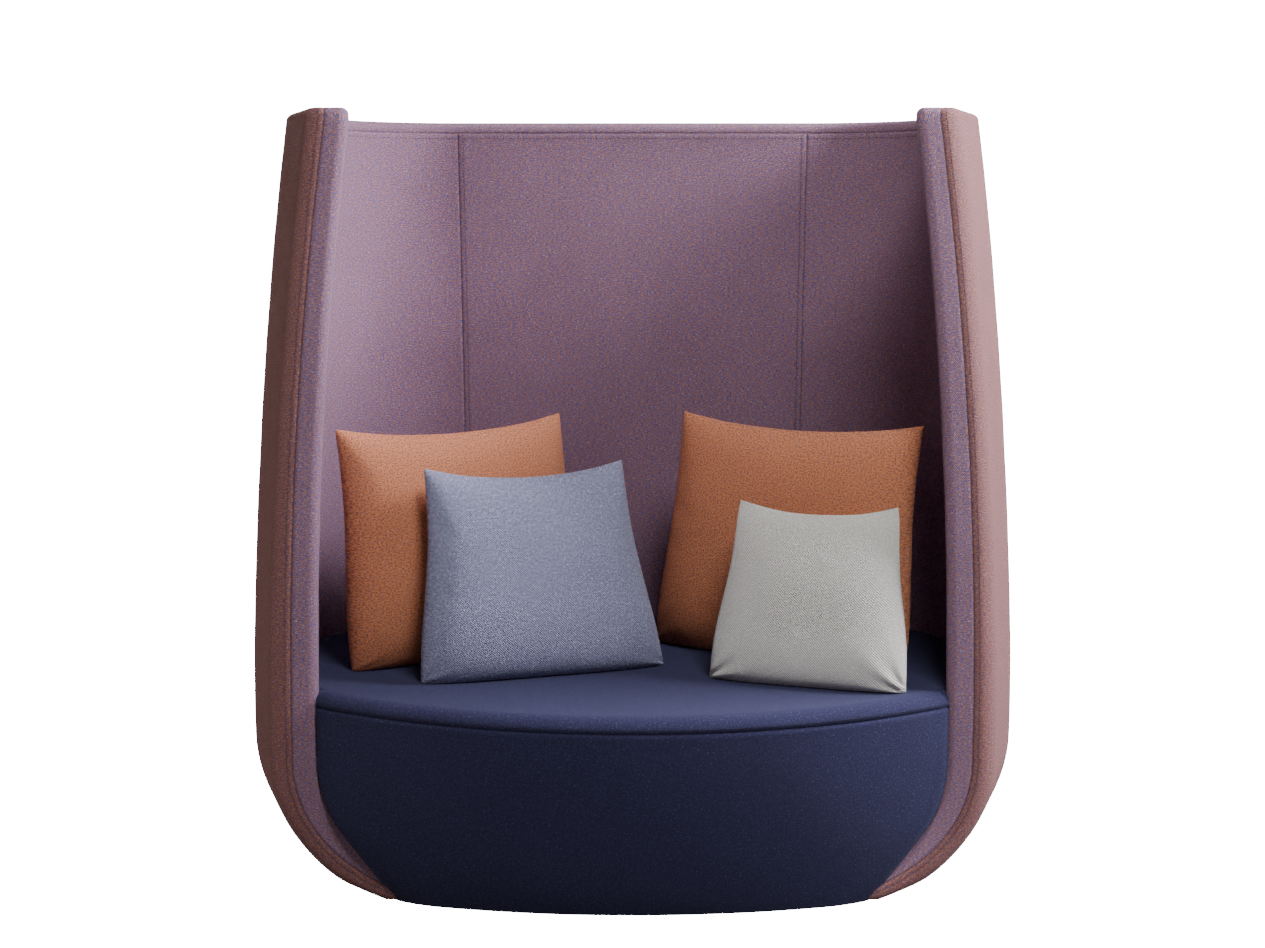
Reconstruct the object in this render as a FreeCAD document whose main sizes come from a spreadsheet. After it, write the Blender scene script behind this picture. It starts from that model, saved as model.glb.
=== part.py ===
"""High-backed two-seat cocoon sofa, modelled piece by piece in millimetres.

The shell is one upright wall profile (a gentle lean above the belly, a bowl below it) carried round a plan of a
straight back, two corner arcs and two toed-in side runs. Every layer of the wall, from outer cover to inner lining,
is a slice of that profile. +Z is up, the front faces -Y and the origin is under the middle of the sofa.
"""
import FreeCAD
import Part
import Sketcher

import math
import os

Vector = FreeCAD.Vector
Rotation = FreeCAD.Rotation
Placement = FreeCAD.Placement

DRIVING = [
    # shell
    ("overall_height", 1550),
    ("back_half_width", 382),
    ("corner_radius", 410),
    ("side_toe_in", 20),
    ("axis_setback", 320),
    ("lip_reach", 190),
    ("belly_height", 280),
    ("bowl_radius", 290),
    ("lean_radius", 8900),
    ("foot_height", 6),
    # layers of the wall, from the outside in
    ("cover_thickness", 3),
    ("layer_gap", 0.9),
    ("outer_pad", 8),
    ("frame_depth", 30),
    ("skin_thickness", 5),
    ("inner_pad", 18),
    ("lining_rise", 26),
    # rim and front edge
    ("top_band_height", 24),
    ("top_round", 14),
    ("edge_depth", 38),
    ("edge_seam_inset", 29),
    ("roll_radius", 38),
    ("band_radius", 18),
    # frame
    ("board_thickness", 18),
    ("post_width", 24),
    ("top_rail_height", 34),
    ("seat_rail_drop", 44),
    ("seat_rail_height", 56),
    ("seat_rail_depth", 12),
    ("notch_clearance", 0.4),
    ("back_rib_spacing", 260),
    # base
    ("dust_thickness", 1.5),
    ("base_clearance", 3.4),
    ("base_setback", 14),
    ("edge_foot_clearance", 9),
    ("glide_radius", 22),
    ("glide_side_inset", 52),
    ("glide_front_setback", 75),
    ("glide_back_inset", 72),
    ("screw_radius", 2.5),
    ("screw_head_radius", 6),
    ("screw_head_height", 2.5),
    ("screw_recess", 1),
    ("screw_length", 18),
    ("screw_clearance", 0.3),
    # seat
    ("seat_height", 425),
    ("lip_round", 28),
    ("lip_skirt", 2),
    ("seat_build", 142),
    ("foam_front_gap", 3),
    ("seat_opening_x", 940),
    ("seat_opening_y", 430),
    ("seat_opening_setback", 70),
    ("opening_corner", 60),
    ("strap_width", 60),
    ("strap_thickness", 1.5),
    ("strap_spacing", 130),
    ("strap_overlap", 40),
    ("partition_side_inset", 22),
    ("partition_front_setback", 12),
    ("partition_back_inset", 97),
    ("partition_hole_radius", 62),
    # fascia
    ("fascia_recess", 92),
    ("fascia_belly", 12),
    ("belly_arc_radius", 1197),
    ("floor_arc_radius", 1725),
    ("fascia_edge_ease", 8.6),
    ("fascia_edge_turn", 40),
    ("fascia_side_gap", 3),
    ("fascia_pad", 14),
    ("fascia_board", 9),
    # cushions: width at the foot and top, height, thickness, foot place, turn, lean and sideways slump of the top
    ("rest_gap", 0.3),
    ("cushion_cloth", 4),
    ("rust_left_foot_width", 580),
    ("rust_left_top_width", 557),
    ("rust_left_rise", 510),
    ("rust_left_loft", 154),
    ("rust_left_foot_x", -338),
    ("rust_left_setback", 322),
    ("rust_left_yaw", 34),
    ("rust_left_lean", 1.5),
    ("rust_left_slump", -40),
    ("rust_right_foot_width", 587),
    ("rust_right_top_width", 570),
    ("rust_right_rise", 519),
    ("rust_right_loft", 158),
    ("rust_right_foot_x", 304),
    ("rust_right_setback", 292),
    ("rust_right_yaw", -29),
    ("rust_right_lean", 1.5),
    ("rust_right_slump", 42),
    ("blue_foot_width", 522),
    ("blue_top_width", 439),
    ("blue_rise", 437),
    ("blue_loft", 130),
    ("blue_foot_x", -178),
    ("blue_setback", 144),
    ("blue_yaw", 17.5),
    ("blue_lean", 8),
    ("blue_slump", -24),
    ("grey_foot_width", 409),
    ("grey_top_width", 333),
    ("grey_rise", 367),
    ("grey_loft", 114),
    ("grey_foot_x", 345),
    ("grey_setback", 58),
    ("grey_yaw", -17.5),
    ("grey_lean", 8),
    ("grey_slump", 10),
]

DERIVED = [
    ("overall_depth", "lip_reach + axis_setback + corner_radius"),
    ("lip_y", "-overall_depth / 2"),
    ("front_y", "lip_y + lip_reach"),
    ("axis_y", "front_y + axis_setback"),
    ("outer_face", "0"),
    ("lining_low", "belly_height + lining_rise"),
    ("seat_rail_low", "belly_height - seat_rail_drop"),
    ("seat_frame_low", "seat_height - seat_build"),
    ("cover_far", "cover_thickness"),
    ("pad_near", "cover_far + layer_gap"),
    ("pad_far", "pad_near + outer_pad"),
    ("frame_near", "pad_far + layer_gap"),
    ("frame_far", "frame_near + frame_depth"),
    ("skin_near", "frame_far + layer_gap"),
    ("skin_far", "skin_near + skin_thickness"),
    ("foam_near", "skin_far + layer_gap"),
    ("foam_far", "foam_near + inner_pad"),
    ("lining_near", "foam_far + layer_gap"),
    ("wall_thickness", "lining_near + cover_thickness"),
    ("edge_seam_near", "edge_seam_inset + layer_gap"),
    ("top_seam", "overall_height - top_band_height"),
    ("top_band_low", "top_seam + layer_gap"),
    ("top_rail_low", "top_seam - top_rail_height"),
    ("layer_top", "top_seam - layer_gap"),
    ("rib_top", "top_rail_low"),
    ("seat_rail_high", "seat_rail_low + seat_rail_height"),
    ("seat_rail_near", "frame_far - seat_rail_depth"),
    ("notch_near", "seat_rail_near - notch_clearance"),
    ("notch_far", "frame_far + layer_gap"),
    ("notch_low", "seat_rail_low - notch_clearance"),
    ("notch_high", "seat_rail_high + notch_clearance"),
    ("layer_front", "front_y + edge_depth + layer_gap"),
    ("lean_in", "(overall_height - belly_height) * (overall_height - belly_height) / (2 * lean_radius)"),
    ("bowl_low", "belly_height - bowl_radius - layer_gap"),
    ("side_run", "(axis_setback + lip_reach) / cos(side_toe_in * 1 deg)"),
    ("base_low", "foot_height + dust_thickness"),
    ("base_top", "base_low + board_thickness"),
    ("floor_drop", "belly_height - foot_height"),
    ("bowl_inside", "bowl_radius - cover_thickness"),
    ("bowl_foot", "sqrt(max(bowl_inside * bowl_inside - floor_drop * floor_drop; 0))"),
    ("base_near", "bowl_radius - bowl_foot + base_clearance"),
    ("base_edge_radius", "corner_radius - base_near"),
    ("edge_foot_x", "back_half_width + (corner_radius - bowl_radius) / cos(side_toe_in * 1 deg)"
                    " - axis_setback * tan(side_toe_in * 1 deg)"),
    ("base_corner_x", "edge_foot_x - edge_foot_clearance"),
    ("glide_spread_x", "back_half_width - glide_side_inset"),
    ("glide_back_offset", "base_edge_radius - glide_back_inset"),
    ("partition_spread", "back_half_width - partition_side_inset"),
    ("partition_back_offset", "base_edge_radius - partition_back_inset"),
    ("fascia_depth", "cover_thickness + fascia_pad + fascia_board + 2 * layer_gap"),
    ("floor_lip_y", "lip_y + fascia_recess"),
    ("belly_lip_y", "lip_y + fascia_belly"),
    ("base_lip_y", "floor_lip_y + fascia_depth + base_setback"),
    ("base_arc_radius", "floor_arc_radius - fascia_depth - base_setback"),
    ("seat_near", "wall_thickness + layer_gap + (seat_height - belly_height) * (seat_height - belly_height)"
                  " / (2 * lean_radius)"),
    ("seam_height", "seat_height - lip_round - lip_skirt"),
    ("lip_half", "back_half_width + (corner_radius - seat_near) / cos(side_toe_in * 1 deg)"
                 " - axis_setback * tan(side_toe_in * 1 deg)"),
    ("lip_arc_radius", "(lip_half * lip_half + lip_reach * lip_reach) / (2 * lip_reach)"),
    ("cavity_near", "seat_near + cover_thickness"),
    ("cavity_lip_y", "lip_y + cover_thickness"),
    ("cavity_arc_radius", "lip_arc_radius - cover_thickness"),
    ("cavity_height", "seat_height - cover_thickness"),
    ("cavity_round", "lip_round - cover_thickness"),
    ("foam_side", "cavity_near + layer_gap"),
    ("foam_lip_y", "cavity_lip_y + layer_gap"),
    ("foam_arc_radius", "cavity_arc_radius - layer_gap"),
    ("foam_height", "cavity_height - layer_gap"),
    ("foam_round", "cavity_round - layer_gap"),
    ("seat_frame_top", "seat_frame_low + board_thickness"),
    ("seat_frame_y", "belly_lip_y + fascia_depth + layer_gap"),
    ("seat_frame_radius", "belly_arc_radius - fascia_depth - layer_gap"),
    ("foam_front_y", "seat_frame_y + foam_front_gap"),
    ("foam_front_radius", "seat_frame_radius - foam_front_gap"),
    ("strap_top", "seat_frame_top + strap_thickness"),
    ("foam_low", "strap_top + rest_gap"),
    ("fascia_top", "seam_height - rest_gap"),
    ("fascia_half", "lip_half - fascia_side_gap"),
    ("fascia_edge_radius", "bowl_radius - seat_near + fascia_edge_ease"),
]

CUSHIONS = ("rust_left", "rust_right", "blue", "grey")

# share of the half thickness, and share of the outline left there
CUSHION_STEPS = ((-1.0, 0.46), (-0.8, 0.7), (-0.45, 0.89), (0.0, 1.0), (0.45, 0.89), (0.8, 0.7), (1.0, 0.46))
PAD_STEPS = ((-0.62, 0.66), (0.0, 0.86), (0.62, 0.66))
EDGE_DIP = 0.035

doc = FreeCAD.newDocument("Sofa")
sheet = doc.addObject("Spreadsheet::Sheet", "Sizes")


def fill_sheet():
    """Write the driving sizes as plain numbers and the derived ones as formulas, each under its alias."""
    rows = [(alias, str(value)) for alias, value in DRIVING]
    rows += [(alias, "=" + formula) for alias, formula in DERIVED]
    for number, (alias, text) in enumerate(rows, start=1):
        sheet.set(f"A{number}", alias)
        sheet.set(f"B{number}", text)
        sheet.setAlias(f"B{number}", alias)
    doc.recompute()


fill_sheet()


def size(alias):
    """The value of one size in the sheet."""
    return float(sheet.get(alias))


TOE = math.radians(size("side_toe_in"))
SIDE_DIRECTION = Vector(-math.sin(TOE), -math.cos(TOE), 0)
UPRIGHT = Rotation(Vector(1, 0, 0), 90)
parts = {}


def keep(node, obj):
    """Name an object as a finished sub-part."""
    obj.Label = node
    parts[node] = obj
    return obj


def dimension(sketch, kind, refs, value, text):
    """Add one dimension to a sketch and bind it to the sheet."""
    index = sketch.addConstraint(Sketcher.Constraint(kind, *refs, value))
    sketch.setExpression(f"Constraints[{index}]", text)


def join(sketch, pairs, kind="Coincident"):
    """Join the ends of sketch edges, given as (edge, end, edge, end)."""
    for pair in pairs:
        sketch.addConstraint(Sketcher.Constraint(kind, *pair))


def arc(x, y, radius, start, end):
    """An arc about (x, y), anticlockwise between two angles in radians."""
    return Part.ArcOfCircle(Part.Circle(Vector(x, y, 0), Vector(0, 0, 1), radius), start, end)


def line(x0, y0, x1, y1):
    """A straight sketch edge."""
    return Part.LineSegment(Vector(x0, y0, 0), Vector(x1, y1, 0))


def wall_profile(name, near, far, low, high, turn, base=None):
    """The wall between two depths and two heights, drawn upright in a plane through a corner axis.

    Sketch X is the distance from the axis and sketch Y the height; turn is the plane's angle in degrees.
    """
    sketch = doc.addObject("Sketcher::SketchObject", name)
    corner, belly = size("corner_radius"), size("belly_height")
    lean, bowl = size("lean_radius"), size("bowl_radius")
    z0, z1 = size(low), size(high)
    lean_x, bowl_x = corner - lean, corner - bowl
    lean_radius = {depth: lean - size(depth) for depth in (near, far)}
    bowl_radius = {depth: bowl - size(depth) for depth in (near, far)}
    has_bowl = z0 < belly
    # a bowl arc that never gets down to the low level ends at its own lowest point
    short = {depth: has_bowl and bowl_radius[depth] <= belly - z0 + 1 for depth in (near, far)}

    def lean_arc(depth):
        start = 0 if has_bowl else math.asin((z0 - belly) / lean_radius[depth])
        return arc(lean_x, belly, lean_radius[depth], start, math.asin((z1 - belly) / lean_radius[depth]))

    def bowl_arc(depth):
        drop = min((belly - z0) / bowl_radius[depth], 1)
        return arc(bowl_x, belly, bowl_radius[depth], -math.asin(drop), 0)

    def span(radius, centre, height):
        return centre + math.sqrt(max(radius ** 2 - (height - belly) ** 2, 0))

    outer = sketch.addGeometry(lean_arc(near))
    inner = sketch.addGeometry(lean_arc(far))
    top = sketch.addGeometry(line(span(lean_radius[near], lean_x, z1), z1, span(lean_radius[far], lean_x, z1), z1))
    join(sketch, [(outer, 2, top, 1), (inner, 2, top, 2)])
    ends = {near: (outer, 1), far: (inner, 1)}
    if has_bowl:
        for depth, upper in ((near, outer), (far, inner)):
            lower = sketch.addGeometry(bowl_arc(depth))
            join(sketch, [(lower, 2, upper, 1)], "Tangent")
            dimension(sketch, "DistanceX", (-1, 1, lower, 3), bowl_x, "Sizes.corner_radius - Sizes.bowl_radius")
            dimension(sketch, "DistanceY", (-1, 1, lower, 3), belly, "Sizes.belly_height")
            dimension(sketch, "DistanceY", (-1, 1, lower, 2), belly, "Sizes.belly_height")
            dimension(sketch, "Radius", (lower,), bowl_radius[depth], f"Sizes.bowl_radius - Sizes.{depth}")
            ends[depth] = (lower, 1)
    else:
        for upper in (outer, inner):
            dimension(sketch, "DistanceX", (-1, 1, upper, 3), lean_x, "Sizes.corner_radius - Sizes.lean_radius")
            dimension(sketch, "DistanceY", (-1, 1, upper, 3), belly, "Sizes.belly_height")
    for depth, upper in ((near, outer), (far, inner)):
        dimension(sketch, "Radius", (upper,), lean_radius[depth], f"Sizes.lean_radius - Sizes.{depth}")
    for depth in (near, far):
        if short[depth]:
            lower = ends[depth][0]
            sketch.addConstraint(Sketcher.Constraint("Vertical", lower, 1, lower, 3))
    foot = {}
    for depth in (near, far):
        centre, radius = (bowl_x, bowl_radius[depth]) if has_bowl else (lean_x, lean_radius[depth])
        foot[depth] = (bowl_x, belly - radius) if short[depth] else (span(radius, centre, z0), z0)
    if short[far] and not short[near]:
        heel = sketch.addGeometry(line(*foot[far], bowl_x, z0))
        join(sketch, [(*ends[far], heel, 1)])
        sketch.addConstraint(Sketcher.Constraint("Vertical", heel))
        ends[far], foot[far] = (heel, 2), (bowl_x, z0)
    bottom = sketch.addGeometry(line(*foot[far], *foot[near]))
    join(sketch, [(*ends[far], bottom, 1), (*ends[near], bottom, 2)])
    if not short[near]:
        sketch.addConstraint(Sketcher.Constraint("Horizontal", bottom))
        dimension(sketch, "DistanceY", (-1, 1, bottom, 1), z0, f"Sizes.{low}")
    sketch.addConstraint(Sketcher.Constraint("Horizontal", top))
    dimension(sketch, "DistanceY", (-1, 1, top, 1), z1, f"Sizes.{high}")
    spot = base or Vector(size("back_half_width"), size("axis_y"), 0)
    sketch.Placement = Placement(spot, Rotation(Vector(0, 0, 1), turn) * UPRIGHT)
    return sketch


def extrude(name, profile, direction, length, both=False):
    """Extrude a closed sketch by a length that the sheet gives."""
    solid = doc.addObject("Part::Extrusion", name)
    solid.Base = profile
    solid.DirMode = "Custom"
    solid.Dir = direction
    solid.Solid = True
    solid.Symmetric = both
    solid.setExpression("LengthFwd", length)
    return solid


def boolean(kind, name, base, tool):
    """A cut or common of two objects."""
    result = doc.addObject(kind, name)
    result.Base = base
    result.Tool = tool
    return result


def fuse(name, shapes):
    """One solid from several."""
    result = doc.addObject("Part::MultiFuse", name)
    result.Shapes = shapes
    return result


def compound(name, links):
    """Loose copies kept together as one sub-part."""
    result = doc.addObject("Part::Compound", name)
    result.Links = links
    return result


def mirror(name, source):
    """The left-hand copy of a right-hand piece."""
    copy = doc.addObject("Part::Mirroring", name)
    copy.Source = source
    copy.Normal = Vector(1, 0, 0)
    return copy


def slab(name, low, high):
    """A box across the whole sofa between two depths, to trim the side runs with."""
    box = doc.addObject("Part::Box", name)
    box.setExpression("Length", "4 * Sizes.overall_depth")
    box.setExpression("Width", f"{high} - ({low})")
    box.setExpression("Height", "2 * Sizes.overall_height")
    box.setExpression("Placement.Base.x", "-2 * Sizes.overall_depth")
    box.setExpression("Placement.Base.y", low)
    box.setExpression("Placement.Base.z", "-0.5 * Sizes.overall_height")
    return box


def side_wall(name, near, far, low, high):
    """Corner arc and toed-in run of one wall layer, on the right, before its front end is trimmed."""
    profile = wall_profile(name + "_profile", near, far, low, high, -size("side_toe_in"))
    corner = doc.addObject("Part::Revolution", name + "_corner")
    corner.Source = profile
    corner.Axis = Vector(0, 0, 1)
    corner.Solid = True
    corner.setExpression("Base.x", "Sizes.back_half_width")
    corner.setExpression("Base.y", "Sizes.axis_y")
    corner.setExpression("Angle", "90 + Sizes.side_toe_in")
    run = extrude(name + "_run", profile, SIDE_DIRECTION, "Sizes.side_run")
    return fuse(name + "_side", [corner, run])


def back_wall(name, near, far, low, high):
    """The straight back stretch of one wall layer, seam to seam."""
    profile = wall_profile(name + "_back_profile", near, far, low, high, 90)
    return extrude(name + "_back", profile, Vector(-1, 0, 0), "2 * Sizes.back_half_width")


def wall_layer(names, near, far, low, high, trim):
    """Right, back and left panels of one wall layer, ended behind the front edge pieces."""
    right, middle, left = names
    panel = keep(right, boolean("Part::Cut", right, side_wall(right, near, far, low, high), trim))
    keep(middle, back_wall(middle, near, far, low, high))
    keep(left, mirror(left, panel))


def wall_ring(name, near, far, low, high, trim):
    """One wall piece that runs right round the shell."""
    side = boolean("Part::Cut", name + "_trimmed", side_wall(name, near, far, low, high), trim)
    return fuse(name, [side, back_wall(name, near, far, low, high), mirror(name + "_mirror", side)])


def plan_outline(name, height, near, lip, radius):
    """Closed plan of a seat layer: front arc, toed-in sides, corner arcs and straight back."""
    sketch = doc.addObject("Sketcher::SketchObject", name)
    half, axis = size("back_half_width"), size("axis_y")
    corner = size("corner_radius") - size(near)
    front_radius = size(radius)
    centre_y = size(lip) + front_radius
    tangent = Vector(half + corner * math.cos(TOE), axis - corner * math.sin(TOE), 0)
    # where the side run, followed forward from its tangent point, meets the front arc
    to_centre = tangent - Vector(0, centre_y, 0)
    along = to_centre.dot(SIDE_DIRECTION)
    reach = -along + math.sqrt(along ** 2 - to_centre.dot(to_centre) + front_radius ** 2)
    front = tangent + SIDE_DIRECTION * reach
    spread = math.atan2(front.x, centre_y - front.y)
    down = 1.5 * math.pi
    sketch.addGeometry([
        arc(0, centre_y, front_radius, down - spread, down + spread),
        line(front.x, front.y, tangent.x, tangent.y),
        arc(half, axis, corner, -TOE, math.pi / 2),
        line(half, axis + corner, -half, axis + corner),
        arc(-half, axis, corner, math.pi / 2, math.pi + TOE),
        line(-tangent.x, tangent.y, -front.x, front.y),
    ])
    join(sketch, [(0, 2, 1, 1), (5, 2, 0, 1)])
    join(sketch, [(1, 2, 2, 1), (2, 2, 3, 1), (3, 2, 4, 1), (4, 2, 5, 1)], "Tangent")
    sketch.addConstraint(Sketcher.Constraint("Equal", 2, 4))
    sketch.addConstraint(Sketcher.Constraint("Symmetric", 0, 1, 0, 2, -2))
    dimension(sketch, "DistanceX", (-1, 1, 2, 3), half, "Sizes.back_half_width")
    dimension(sketch, "DistanceX", (4, 3, -1, 1), half, "Sizes.back_half_width")
    dimension(sketch, "DistanceY", (-1, 1, 2, 3), axis, "Sizes.axis_y")
    dimension(sketch, "DistanceY", (-1, 1, 4, 3), axis, "Sizes.axis_y")
    dimension(sketch, "Radius", (2,), corner, f"Sizes.corner_radius - Sizes.{near}")
    dimension(sketch, "Angle", (1,), math.pi / 2 - TOE, "(90 - Sizes.side_toe_in) * 1 deg")
    dimension(sketch, "Radius", (0,), front_radius, f"Sizes.{radius}")
    dimension(sketch, "DistanceY", (-1, 1, 0, 3), centre_y, f"Sizes.{lip} + Sizes.{radius}")
    sketch.setExpression("Placement.Base.z", f"Sizes.{height}")
    return sketch


def plan_pad(name, near, lip, radius, low, high):
    """A seat layer of that plan between two heights."""
    outline = plan_outline(name + "_plan", low, near, lip, radius)
    return extrude(name, outline, Vector(0, 0, 1), f"Sizes.{high} - Sizes.{low}")


def cylinder(name, radius, low, length, x, y):
    """An upright cylinder with its sizes and place bound to the sheet."""
    solid = doc.addObject("Part::Cylinder", name)
    solid.setExpression("Radius", radius)
    solid.setExpression("Height", length)
    solid.setExpression("Placement.Base.x", x)
    solid.setExpression("Placement.Base.y", y)
    solid.setExpression("Placement.Base.z", low)
    return solid


def box(name, length, width, height, x, y, z):
    """A box with its sizes and its low corner bound to the sheet."""
    solid = doc.addObject("Part::Box", name)
    for field, text in (("Length", length), ("Width", width), ("Height", height)):
        solid.setExpression(field, text)
    for axis, text in (("x", x), ("y", y), ("z", z)):
        solid.setExpression(f"Placement.Base.{axis}", text)
    return solid


def fillet(name, base, radius, picked):
    """Round the edges of an object that the test picks."""
    doc.recompute()
    edges = [index for index, edge in enumerate(base.Shape.Edges, start=1) if picked(edge)]
    if not edges:
        raise RuntimeError(f"no edge to round on {name}")
    rounded = doc.addObject("Part::Fillet", name)
    rounded.Base = base
    rounded.Edges = [(index, size(radius), size(radius)) for index in edges]
    return rounded


def edge_points(edge):
    """Five points along an edge."""
    first, last = edge.ParameterRange
    return [edge.valueAt(first + (last - first) * step / 4) for step in range(5)]


def wall_depth(point):
    """How far a point of the right-hand side run lies inside the outer face."""
    offset = Vector(point.x - size("back_half_width"), point.y - size("axis_y"), 0)
    reach = offset.x * math.cos(TOE) - offset.y * math.sin(TOE)
    radius = size("lean_radius") if point.z >= size("belly_height") else size("bowl_radius")
    return radius - math.hypot(reach - (size("corner_radius") - radius), point.z - size("belly_height"))


def on_front(edge):
    """Whether an edge lies in the shell's front plane."""
    return all(abs(point.y - size("front_y")) < 0.01 for point in edge_points(edge))


def build_wall():
    """Covers, padding, skins and lining of the shell."""
    trim = slab("front_trim", "-4 * Sizes.overall_depth", "Sizes.layer_front")
    wall_layer(("outer_cover_right", "outer_cover_back", "outer_cover_left"),
               "outer_face", "cover_far", "foot_height", "top_seam", trim)
    wall_layer(("outer_wadding_right", "outer_wadding_back", "outer_wadding_left"),
               "pad_near", "pad_far", "lining_low", "layer_top", trim)
    wall_layer(("inner_skin_right", "inner_skin_back", "inner_skin_left"),
               "skin_near", "skin_far", "lining_low", "layer_top", trim)
    wall_layer(("inner_foam_right", "inner_foam_back", "inner_foam_left"),
               "foam_near", "foam_far", "lining_low", "layer_top", trim)
    wall_layer(("lining_right", "lining_back", "lining_left"),
               "lining_near", "wall_thickness", "lining_low", "top_seam", trim)
    return trim


def build_edges():
    """Rolled outer corner and forward-facing band of each front edge, and the band round the rim."""
    strip = slab("edge_strip", "Sizes.front_y", "Sizes.front_y + Sizes.edge_depth")
    floor = box("floor_trim", "4 * Sizes.overall_depth", "4 * Sizes.overall_depth", "Sizes.overall_height",
                "-2 * Sizes.overall_depth", "-2 * Sizes.overall_depth", "Sizes.foot_height - Sizes.overall_height")
    for stem, near, far, radius in (("edge_roll", "outer_face", "edge_seam_inset", "roll_radius"),
                                    ("edge_band", "edge_seam_near", "wall_thickness", "band_radius")):
        profile = wall_profile(stem + "_profile", near, far, "bowl_low", "top_seam", -size("side_toe_in"))
        run = extrude(stem + "_run", profile, SIDE_DIRECTION, "Sizes.side_run")
        block = boolean("Part::Common", stem + "_block", run, strip)
        face = size(near if stem == "edge_roll" else far)
        rounded = fillet(stem + "_round", block, radius, lambda edge, face=face: on_front(edge) and all(
            abs(wall_depth(point) - face) < 0.05 for point in edge_points(edge)))
        right = keep(stem + "_right", boolean("Part::Cut", stem + "_right", rounded, floor))
        keep(stem + "_left", mirror(stem + "_left", right))
    front = slab("rim_trim", "-4 * Sizes.overall_depth", "Sizes.front_y")
    rim = wall_ring("rim", "outer_face", "wall_thickness", "top_band_low", "overall_height", front)
    height, half = size("overall_height"), size("lip_half") - size("lean_in")

    def end_edge(edge, outer):
        middle = edge_points(edge)[2]
        return on_front(edge) and abs(edge.Vertexes[0].Z - edge.Vertexes[-1].Z) > 1 and (
            abs(middle.x) > half + size("edge_seam_inset")) == outer

    outside = fillet("rim_outside", rim, "roll_radius", lambda edge: end_edge(edge, True))
    ends = fillet("rim_ends", outside, "band_radius", lambda edge: end_edge(edge, False))
    keep("top_band", fillet("top_band", ends, "top_round", lambda edge: all(
        abs(point.z - height) < 0.01 for point in edge_points(edge))))


def build_frame(trim):
    """Ribs, posts and rails inside the wall."""
    keep("top_rail", wall_ring("top_rail", "frame_near", "frame_far", "top_rail_low", "layer_top", trim))
    keep("seat_rail", wall_ring("seat_rail", "seat_rail_near", "frame_far", "seat_rail_low", "seat_rail_high", trim))
    notch = wall_ring("rail_notch", "notch_near", "notch_far", "notch_low", "notch_high", trim)

    def rib(name, turn, base=None, direction=None):
        profile = wall_profile(name + "_profile", "frame_near", "frame_far", "base_top", "rib_top", turn, base)
        across = direction or Vector(-math.sin(math.radians(turn)), math.cos(math.radians(turn)), 0)
        blank = extrude(name + "_blank", profile, across, "Sizes.board_thickness", both=True)
        return keep(name, boolean("Part::Cut", name, blank, notch))

    for name, share in (("back_rib_left", -1), ("back_rib_middle", 0), ("back_rib_right", 1)):
        rib(name, 90, Vector(share * size("back_rib_spacing"), size("axis_y"), 0))
    for name, turn in (("corner_rib_rear", 60), ("corner_rib_side", 12)):
        right = rib(name + "_right", turn)
        keep(name + "_left", mirror(name + "_left", right))
    profile = wall_profile("post_profile", "frame_near", "frame_far", "base_top", "rib_top", -size("side_toe_in"))
    run = extrude("post_run", profile, SIDE_DIRECTION, "Sizes.side_run")
    bay = slab("post_bay", "Sizes.layer_front", "Sizes.layer_front + Sizes.post_width")
    blank = boolean("Part::Common", "post_blank", run, bay)
    post = keep("front_post_right", boolean("Part::Cut", "front_post_right", blank, notch))
    keep("front_post_left", mirror("front_post_left", post))


def glide_spots():
    """Sheet expressions for the middle of each glide."""
    rows = ("Sizes.base_lip_y + Sizes.glide_front_setback", "Sizes.axis_y + Sizes.glide_back_offset")
    columns = ("-Sizes.glide_spread_x", "0", "Sizes.glide_spread_x")
    return [(x, y) for y in rows for x in columns]


def build_base():
    """Base board, dust cover, glides and their screws."""
    glides, screws, bores = [], [], []
    for number, (x, y) in enumerate(glide_spots()):
        bore = cylinder(f"glide_bore_{number}", "Sizes.screw_radius + Sizes.screw_clearance", "0",
                        "Sizes.base_top", x, y)
        bores.append(bore)
        head_low = "Sizes.screw_recess"
        pocket = cylinder(f"glide_pocket_{number}", "Sizes.screw_head_radius + Sizes.screw_clearance", "0",
                          "Sizes.screw_recess + Sizes.screw_head_height", x, y)
        disc = cylinder(f"glide_disc_{number}", "Sizes.glide_radius", "0", "Sizes.foot_height", x, y)
        hollow = fuse(f"glide_hollow_{number}", [bore, pocket])
        glides.append(boolean("Part::Cut", f"glide_{number}", disc, hollow))
        head = cylinder(f"screw_head_{number}", "Sizes.screw_head_radius", head_low, "Sizes.screw_head_height", x, y)
        shank = cylinder(f"screw_shank_{number}", "Sizes.screw_radius", head_low, "Sizes.screw_length", x, y)
        screws.append(fuse(f"screw_{number}", [head, shank]))
    keep("glides", compound("glides", glides))
    keep("glide_screws", compound("glide_screws", screws))
    # the feet of the front edges stand in the front corners of the base
    corners = [box(f"base_corner_{number}", "Sizes.overall_depth", "2 * Sizes.overall_depth", "3 * Sizes.base_top",
                   x, "Sizes.layer_front - 2 * Sizes.overall_depth", "-Sizes.base_top")
               for number, x in enumerate(("Sizes.base_corner_x", "-Sizes.base_corner_x - Sizes.overall_depth"))]
    drill = compound("glide_bores", [*bores, *corners])
    board = plan_pad("base_blank", "base_near", "base_lip_y", "base_arc_radius", "base_low", "base_top")
    sheet_blank = plan_pad("dust_blank", "base_near", "base_lip_y", "base_arc_radius", "foot_height", "base_low")
    keep("base_board", boolean("Part::Cut", "base_board", board, drill))
    keep("dust_cover", boolean("Part::Cut", "dust_cover", sheet_blank, drill))


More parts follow.
